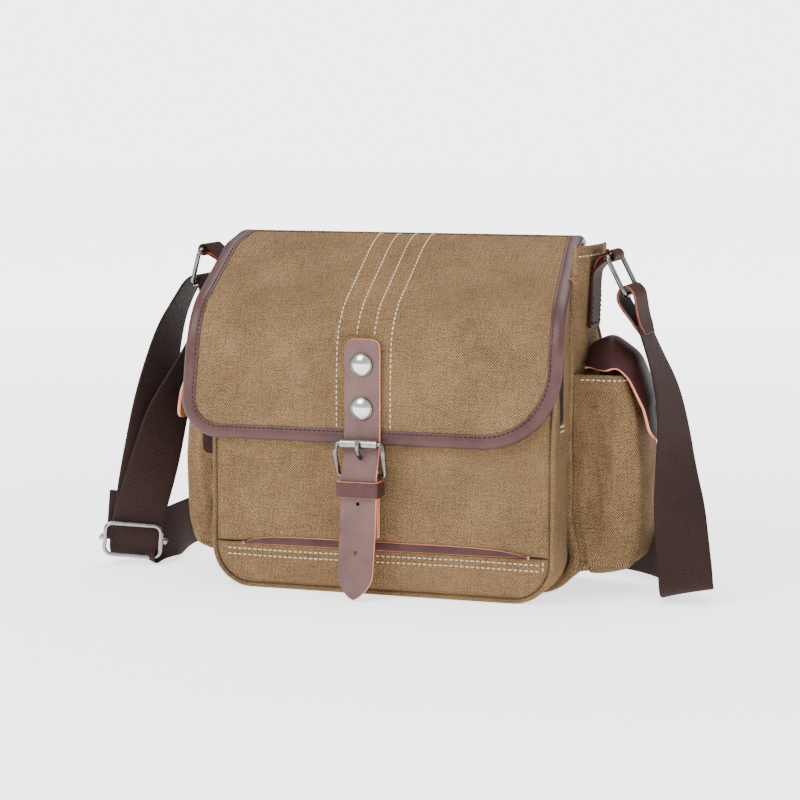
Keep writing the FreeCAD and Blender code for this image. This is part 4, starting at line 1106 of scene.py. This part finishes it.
def make_body(mats):
    """Main gusset with its hem, back panel, inner front wall, lining and the folded seams."""
    rear = BODY_BACK - 2.5
    columns = [(SEAM_Y + 0.3, 4.0), (SEAM_Y - 0.1, 1.6), (SEAM_Y + 0.2, 0.4), (SEAM_Y + 1.4, 0.0)]
    columns += [(y, 0.0) for y in steps(SEAM_Y + 3, rear - 2, 24)] + [(rear, 0.3), (rear + 1.2, 1.2)]
    tops = [(min(BODY_HIGH, under_flap(y)), BODY_HIGH + 1.0) for y, _ in columns]
    sheet = wall(u_track(BODY_HALF, 260, CORNER), columns, tops, 240, main_sag)
    finish(sheet_piece("main_gusset_cloth", sheet, 2.2, (5, 12, -X_AXIS), [mats["canvas"]]),
           "bag", "canvas", "main_gusset")

    build = Build()
    deep, rear_deep = span("front_seam_ridge"), span("back_seam_ridge")
    for half, (y0, y1), reach, top, sides in (
            (deep[1][0], (deep[0][1], deep[1][1]), 7.0, deep[1][2] - 1, ((0.0, 1.0),)),
            (rear_deep[1][0], (rear_deep[0][1], rear_deep[1][1]), 3.2, rear_deep[1][2],
             ((0.0, 0.27), (0.73, 1.0)))):
        line = u_track(half - 0.3, top, CORNER + 3)
        flat = (y1 - y0) / 2
        section = [(-reach, -flat + 0.3), (-1.6, -flat + 0.1), (-0.5, -flat + 0.5), (0.0, 0.0),
                   (-0.5, flat - 0.5), (-1.6, flat - 0.1), (-reach, flat - 0.3)]
        for first, last in sides:
            path, out = [], []
            for s in steps(first * line.length, last * line.length, 180):
                (x, z), ahead = line.at(s)
                way = right_of(ahead)
                sway = 0.35 * ripple((x, 5, z), 26, 3.9) - 0.2
                lean = main_sag(x, (y0 + y1) / 2, z)
                lean += 0.0 if y0 > 0 else -1.4 * soft(20, 60, z)
                path.append((x + way[0] * (sway + lean), (y0 + y1) / 2, z + way[1] * sway))
                out.append((way[0], 0, way[1]))
            keep = [i for i, p in enumerate(path) if p[2] < under_flap(p[1]) + (9 if p[0] > 129 else 0)]
            path, out = [path[i] for i in keep], [out[i] for i in keep]
            carry(build, path, out, [Y_AXIS] * len(path), section)
    finish(build.make("seam_folds", [mats["canvas"]]), "bag", "canvas", "front_seam_ridge",
           "back_seam_ridge")

    build = Build()
    z = BODY_HIGH - HEM
    line = [(BODY_HALF + main_sag(BODY_HALF, y, z) + 0.1, y, z) for y in steps(SEAM_Y + 1, rear - 2, 60)]
    stitch(build, line, [X_AXIS] * 60, 5.6, 2.8)
    finish(build.make("gusset_hem_stitches", [mats["cream"]]), "bag", "canvas")

    high = span("back_panel")[1][2]

    def back_point(z, x):
        half = half_at(z, BODY_HALF, CORNER)
        if x > 0:
            half -= 3.5 * soft(170, 196, z)
        spot = x * half
        edge = min(half - abs(spot), z - 1.0, high - z + 6)
        full = 0.8 * soft(0, 14, edge) + 0.8 * ripple((spot, 3, z), 52, 9.4) * soft(0, 14, edge)
        return (spot, BODY_BACK - 0.6 + full - 1.5 * (1 - soft(0, 3, edge)), z)

    sheet = grid(back_point, steps(1.0, high, 60), steps(-1, 1, 70, 0.3))
    finish(sheet_piece("back_panel_cloth", sheet, 2.2, (20, 30, Y_AXIS), [mats["canvas"], mats["lining"]],
                       (0, 1, 0)), "bag", "canvas", "back_panel")

    wall_high = span("main_front_wall")[1][2] + 3

    def inner_point(z, x):
        half = half_at(z, FRONT_GUSSET_HALF - 1, CORNER)
        return (x * half, SEAM_Y - 2.2 - 0.3 * ripple((x * half, 9, z), 40, 3.3), z)

    sheet = grid(inner_point, steps(3.0, wall_high, 40), steps(-1, 1, 50))
    finish(sheet_piece("inner_wall_cloth", sheet, 1.8, (20, 20, -Y_AXIS), [mats["canvas"]]),
           "bag", "canvas", "main_front_wall")

    low, over = span("lining")
    bend = 5.0
    half, deep = over[0], (low[1] + 0.3, over[1] - 0.3)
    loop = Track([(0, deep[0], 0), (half, deep[0], bend), (half, deep[1], bend), (-half, deep[1], bend),
                  (-half, deep[0], bend), (0, deep[0], 0)])
    sheet = []
    for z in list(steps(over[2], low[2] + 0.4, 50)) + [low[2] + 0.3] * 3:
        share = half_at(z - low[2], half, CORNER - 3) / half
        close = 1.0 if len(sheet) < 50 else (0.66, 0.33, 0.02)[len(sheet) - 50]
        row = []
        for s in steps(0, loop.length, 120):
            x, y = loop.at(s)[0]
            top = min(z, under_flap(y) - 1.5) if x < 129 else z
            top = min(top, SEAM_Y + 222 + 3 * max(0.0, y - SEAM_Y))
            wide = BODY_HALF - 4.0 + min(0.0, main_sag(x, y, top))
            x = max(-wide, min(wide, x))
            middle = sum(deep) / 2
            row.append((x * share, middle + (y - middle) * close + 0.4 * ripple((x, y, z), 30, 6.1) * close,
                        top))
        sheet.append(row)
    finish(sheet_piece("lining_cloth", np.array(sheet), 0.6, (10, 10, -Y_AXIS), [mats["lining"]]),
           "bag", "lining", "lining")


# ---------------------------------------------------------------- side pockets
def make_pocket(side, mats):
    """One bellows pocket with its hem, and its domed leather flap."""
    name = "right" if side > 0 else "left"
    scale = 1.0 if side > 0 else LEFT_SCALE
    profile = Track([(u * scale, v, r * scale) for u, v, r in POCKET_PROFILE])
    y0, y1 = POCKET_Y
    flip = np.array((side, 1, 1))

    @lru_cache(maxsize=None)
    def plan_of(u):
        bend = min(9.0, u * 0.6)
        return Track([(-5.5, y0, 0), (u, y0, bend), (u, y1, bend), (0, y1, 0)])

    def ring_point(s, t):
        (u, z), _ = profile.at(s)
        plan = plan_of(max(u, 0.3))
        (x, y), ahead = plan.at(plan.length * t)
        out = right_of(ahead)
        full = (soft(0, 40, s) * (1 - soft(profile.length - 45, profile.length - 12, s)))
        edge = min(t, 1 - t) * plan.length
        push = (1.5 * full * soft(2, 16, edge) + 0.8 * ripple((x, y, z), 32, 4.4 * side) * soft(0, 10, edge)
                * soft(2, 14, s)) * scale
        hem = 0.5 * (1 - soft(9.0, 9.6, s))
        slump = -1.2 * math.exp(-((s - 9) / 14) ** 2) * soft(4, 20, edge)
        x, y = np.array((x, y)) + out * (push + hem + 0.3 * slump)
        return np.array((BODY_HALF + max(x, -5.6), y, z))

    rows = list(steps(0, 12, 12)) + list(steps(13, profile.length - 0.5, 70))
    flat = grid(ring_point, rows, steps(0, 1, 96))
    free = np.array([[soft(0, 0.08, t) * soft(0, 0.08, 1 - t) * soft(6, 26, s)
                      * soft(0, 16, profile.length - s) for t in steps(0, 1, 96)] for s in rows])
    sheet = settle(flat, free, 0.018, -0.25, 3.0) * flip
    finish(sheet_piece(f"pocket_cloth_{name}", sheet, 1.8, (30, 48, X_AXIS * side), [mats["canvas"]]),
           "bag", "canvas", f"side_pocket_{name}")

    build = Build()
    marks = steps(0.04, 0.96, 200)
    line = np.array([ring_point(3.4, t) for t in marks]) * flip
    ahead = np.array([ring_point(3.4, t + 0.004) for t in marks]) * flip - line
    out = unit(np.cross(ahead, UP) * side)
    stitch(build, line + out * 0.25, out)
    finish(build.make(f"pocket_hem_stitches_{name}", [mats["cream"]]), "bag", "canvas")

    leaf, rim = Track(LEAF_PROFILE[side]), Track(LEAF_EDGE[side])
    long = leaf.length

    def leaf_point(s, t):
        left = long - s
        trim = LEAF_CORNER - math.sqrt(LEAF_CORNER ** 2 - max(0.0, LEAF_CORNER - left) ** 2)
        trim += 6 * (1 - soft(0, 30, s))
        y = LEAF_Y[0] + trim + (LEAF_Y[1] - LEAF_Y[0] - 2 * trim) * t
        middle = sum(LEAF_Y) / 2
        off = abs(y - middle) / (LEAF_Y[1] - middle)
        share = off ** 2.4 * (1.0 if t < 0.5 else 0.7)
        x, z = leaf.at(s)[0] * (1 - share) + rim.at(s * rim.length / long)[0] * share
        x -= 1.6 * off ** 2 * soft(long * 0.7, long, s)
        return np.array((BODY_HALF + max(x, 1.2), y, z)) * flip

    rows = np.concatenate([steps(0, long - 14, 50), closing(long - 13.5, long, 0.05, 16)])
    finish(sheet_piece(f"pocket_flap_leather_{name}", grid(leaf_point, rows, steps(0, 1, 34)), 2.2,
                       (30, 16, X_AXIS * side), [mats["pocket"], mats["flesh"], mats["edge"]],
                       (0, 1, 2), 0.12),
           f"pocket_flap_{name}", "pocket_leather", f"pocket_flap_{name}")


# ---------------------------------------------------------------- rings, tabs and shoulder strap
def make_tab(side, mats):
    """The doubled leather tab that carries one ring."""
    name = "right" if side > 0 else "left"
    x, z = RING_AT[side]
    up = {1: [(138.2, 190), (139.0, 214), (139.8, 228), (143.6, 233.6)],
          -1: [(138.2, 190), (139.4, 214), (141.2, 224), (147.0, 231.5)]}
    down = {1: [(144.0, 242.5), (140.2, 238), (138.2, 231)],
            -1: [(149.0, 238.0), (141.5, 231.5), (138.6, 227.5)]}
    path = list(up[side])
    path += [(x + TAB_TURN * math.cos(a), z + TAB_TURN * math.sin(a)) for a in np.linspace(-2.2, 2.5, 16)]
    path += down[side]
    curve = []
    for i in range(len(path) - 1):
        for k in range(4):
            t = k / 4
            before, here = np.array(path[max(i - 1, 0)]), np.array(path[i])
            nxt, after = np.array(path[i + 1]), np.array(path[min(i + 2, len(path) - 1)])
            curve.append(0.5 * (2 * here + (nxt - before) * t
                                + (2 * before - 5 * here + 4 * nxt - after) * t * t
                                + (3 * here - before - 3 * nxt + after) * t ** 3))
    sheet = np.array([[(side * p[0], RING_Y + y, p[1]) for y in steps(-TAB_HALF, TAB_HALF, 12, 0.5)]
                      for p in curve])
    finish(sheet_piece(f"ring_tab_leather_{name}", sheet, 1.7, (4, 6, X_AXIS * side),
                       [mats["matte"], mats["flesh"]], (0, 1, 0), 0.15),
           "bag", "pocket_leather", f"ring_tab_{name}")
    build = Build()
    for y in (RING_Y - TAB_HALF + 2.4, RING_Y + TAB_HALF - 2.4):
        line = [(side * (138.3 + 0.035 * (zz - 190)), y, zz) for zz in steps(192, 214, 20)]
        stitch(build, line, [X_AXIS * side] * 20, 3.5, 2.1, 0.4)
    line = [(side * 138.4, y, 192.2) for y in steps(RING_Y - TAB_HALF + 3, RING_Y + TAB_HALF - 3, 20)]
    stitch(build, line, [X_AXIS * side] * 20, 3.5, 2.1, 0.4)
    finish(build.make(f"ring_tab_stitches_{name}", [mats["brown"]]), "bag", "pocket_leather")


def spline_points(name, controls):
    """Points read from a NURBS spline through the control points' frame."""
    curve = bpy.data.curves.new(name, "CURVE")
    curve.dimensions = "3D"
    curve.resolution_u = 10
    spline = curve.splines.new("NURBS")
    spline.points.add(len(controls) - 1)
    for point, place in zip(spline.points, controls):
        point.co = (*(c * MM for c in place), 1.0)
    spline.order_u = 3
    spline.use_endpoint_u = True
    bare = bpy.data.objects.new(name, curve)
    line = bpy.data.meshes.new_from_object(bare)
    places = np.array([v.co for v in line.vertices]) / MM
    bpy.data.objects.remove(bare)
    bpy.data.curves.remove(curve)
    bpy.data.meshes.remove(line)
    return places


def make_webbing(mats):
    """Webbing along the strap's route, its leather end, and the sewn end round the slider's bar.

    The width direction goes through its own spline, so that the webbing twists evenly.
    """
    line = spline_points("route", [place for place, _ in ROUTE])
    width = spline_points("width", [np.array(w) * 100 for _, w in ROUTE])
    ahead = unit(np.gradient(line, axis=0))
    width = unit(width - ahead * np.sum(width * ahead, axis=1, keepdims=True))
    out = np.cross(ahead, width)
    half, thick = WEB_WIDE / 2, WEB_THICK / 2
    section = [(-half, 0.0), (-half + 0.5, thick * 0.85)]
    section += [(a, thick) for a in np.linspace(-half + 1.6, half - 1.6, 9)]
    section += [(half - 0.5, thick * 0.85), (half, 0.0), (half - 0.5, -thick * 0.85)]
    section += [(a, -thick) for a in np.linspace(half - 1.6, -half + 1.6, 9)]
    section += [(-half + 0.5, -thick * 0.85)]
    build = Build()
    carry(build, line, width, out, section)
    strap = build.make("shoulder_strap_webbing", [mats["webbing"]])
    finish(strap, "bag", "webbing", "shoulder_webbing")

    loop = [(178.6, 186.4), (177.2, 190.2), (175.4, 194.6), (173.6, 201.6), (172.4, 208.8), (171.0, 216.6),
            (165.0, 222.0), (158.8, 219.4), (156.6, 211.4), (160.4, 204.4), (165.4, 198.2), (169.6, 192.6),
            (172.4, 188.4), (174.2, 184.6)]
    path = spline_points("loop", [(x, RING_Y, z) for x, z in loop])
    sheet = []
    for i, p in enumerate(path):
        t = i / (len(path) - 1)
        half = 18.2 - 4.0 * soft(0.9, 1.0, t) - 4.0 * (1 - soft(0, 0.1, t))
        sheet.append([(p[0], RING_Y + y, p[2]) for y in steps(-half, half, 11, 0.5)])
    end = finish(sheet_piece("strap_end_leather", np.array(sheet), 1.9, (10, 5, X_AXIS),
                             [mats["matte"], mats["rim"]], (0, 0, 1), 0.15),
                 "bag", "pocket_leather", "strap_end")

    nodes = frame["nodes"]
    bar = np.array([v.co for v in nodes["slider_bar"].data.vertices]) / MM
    along = unit(SLIDER_ALONG)
    rise = unit(UP - along * along[2])
    away = np.cross(along, rise)
    centre = (bar.max(axis=0) + bar.min(axis=0)) / 2
    depth = np.max((bar - centre) @ -away)
    axis_at = centre - away * (depth - 1.5) - along * 2.5
    rear = -away
    turn = [axis_at + rear * SEWN_TURN + rise * h for h in steps(SEWN_TAIL, 1.5, 10)]
    turn += [axis_at + (rear * math.cos(a) - rise * math.sin(a)) * SEWN_TURN
             for a in np.linspace(0.3, 3.1, 9)]
    turn += [axis_at - rear * SEWN_TURN + rise * h for h in steps(1.5, 6, 3)]
    sheet = np.array([[p + along * x for x in steps(-18.6, 18.6, 14, 0.3)] for p in turn])
    sewn = finish(sheet_piece("sewn_end_webbing", sheet, 1.6, (4, 7, rear), [mats["webbing"]], bulge=0.2),
                  "bag", "webbing", "webbing_sewn_end")


# ---------------------------------------------------------------- CAD pieces that stay
def dress_metal(mats):
    """Materials for the CAD pieces that show as they are."""
    wear = {"nickel": ("closure_rivets", "snap_base", "snap_cup", "pocket_stud_right", "pocket_stud_left"),
            "steel": ("slider_frame", "slider_bar", "buckle_roller"),
            "gunmetal": ("buckle_frame", "buckle_prong", "ring_right", "ring_left",
                         "pocket_cap_right", "pocket_cap_left", "zip_slider", "zip_link"),
            "pocket": ("zip_pull",), "board": ("base_board",)}
    for finish_name, members in wear.items():
        for node in members:
            for holder in frame["nodes"][node].material_slots:
                holder.material = mats[finish_name]


materials = make_materials()
set_stage()
make_webbing(materials)
make_flap(materials)
make_closure(materials)
make_front(materials)
make_body(materials)
for which in (1, -1):
    make_pocket(which, materials)
    make_tab(which, materials)
dress_metal(materials)
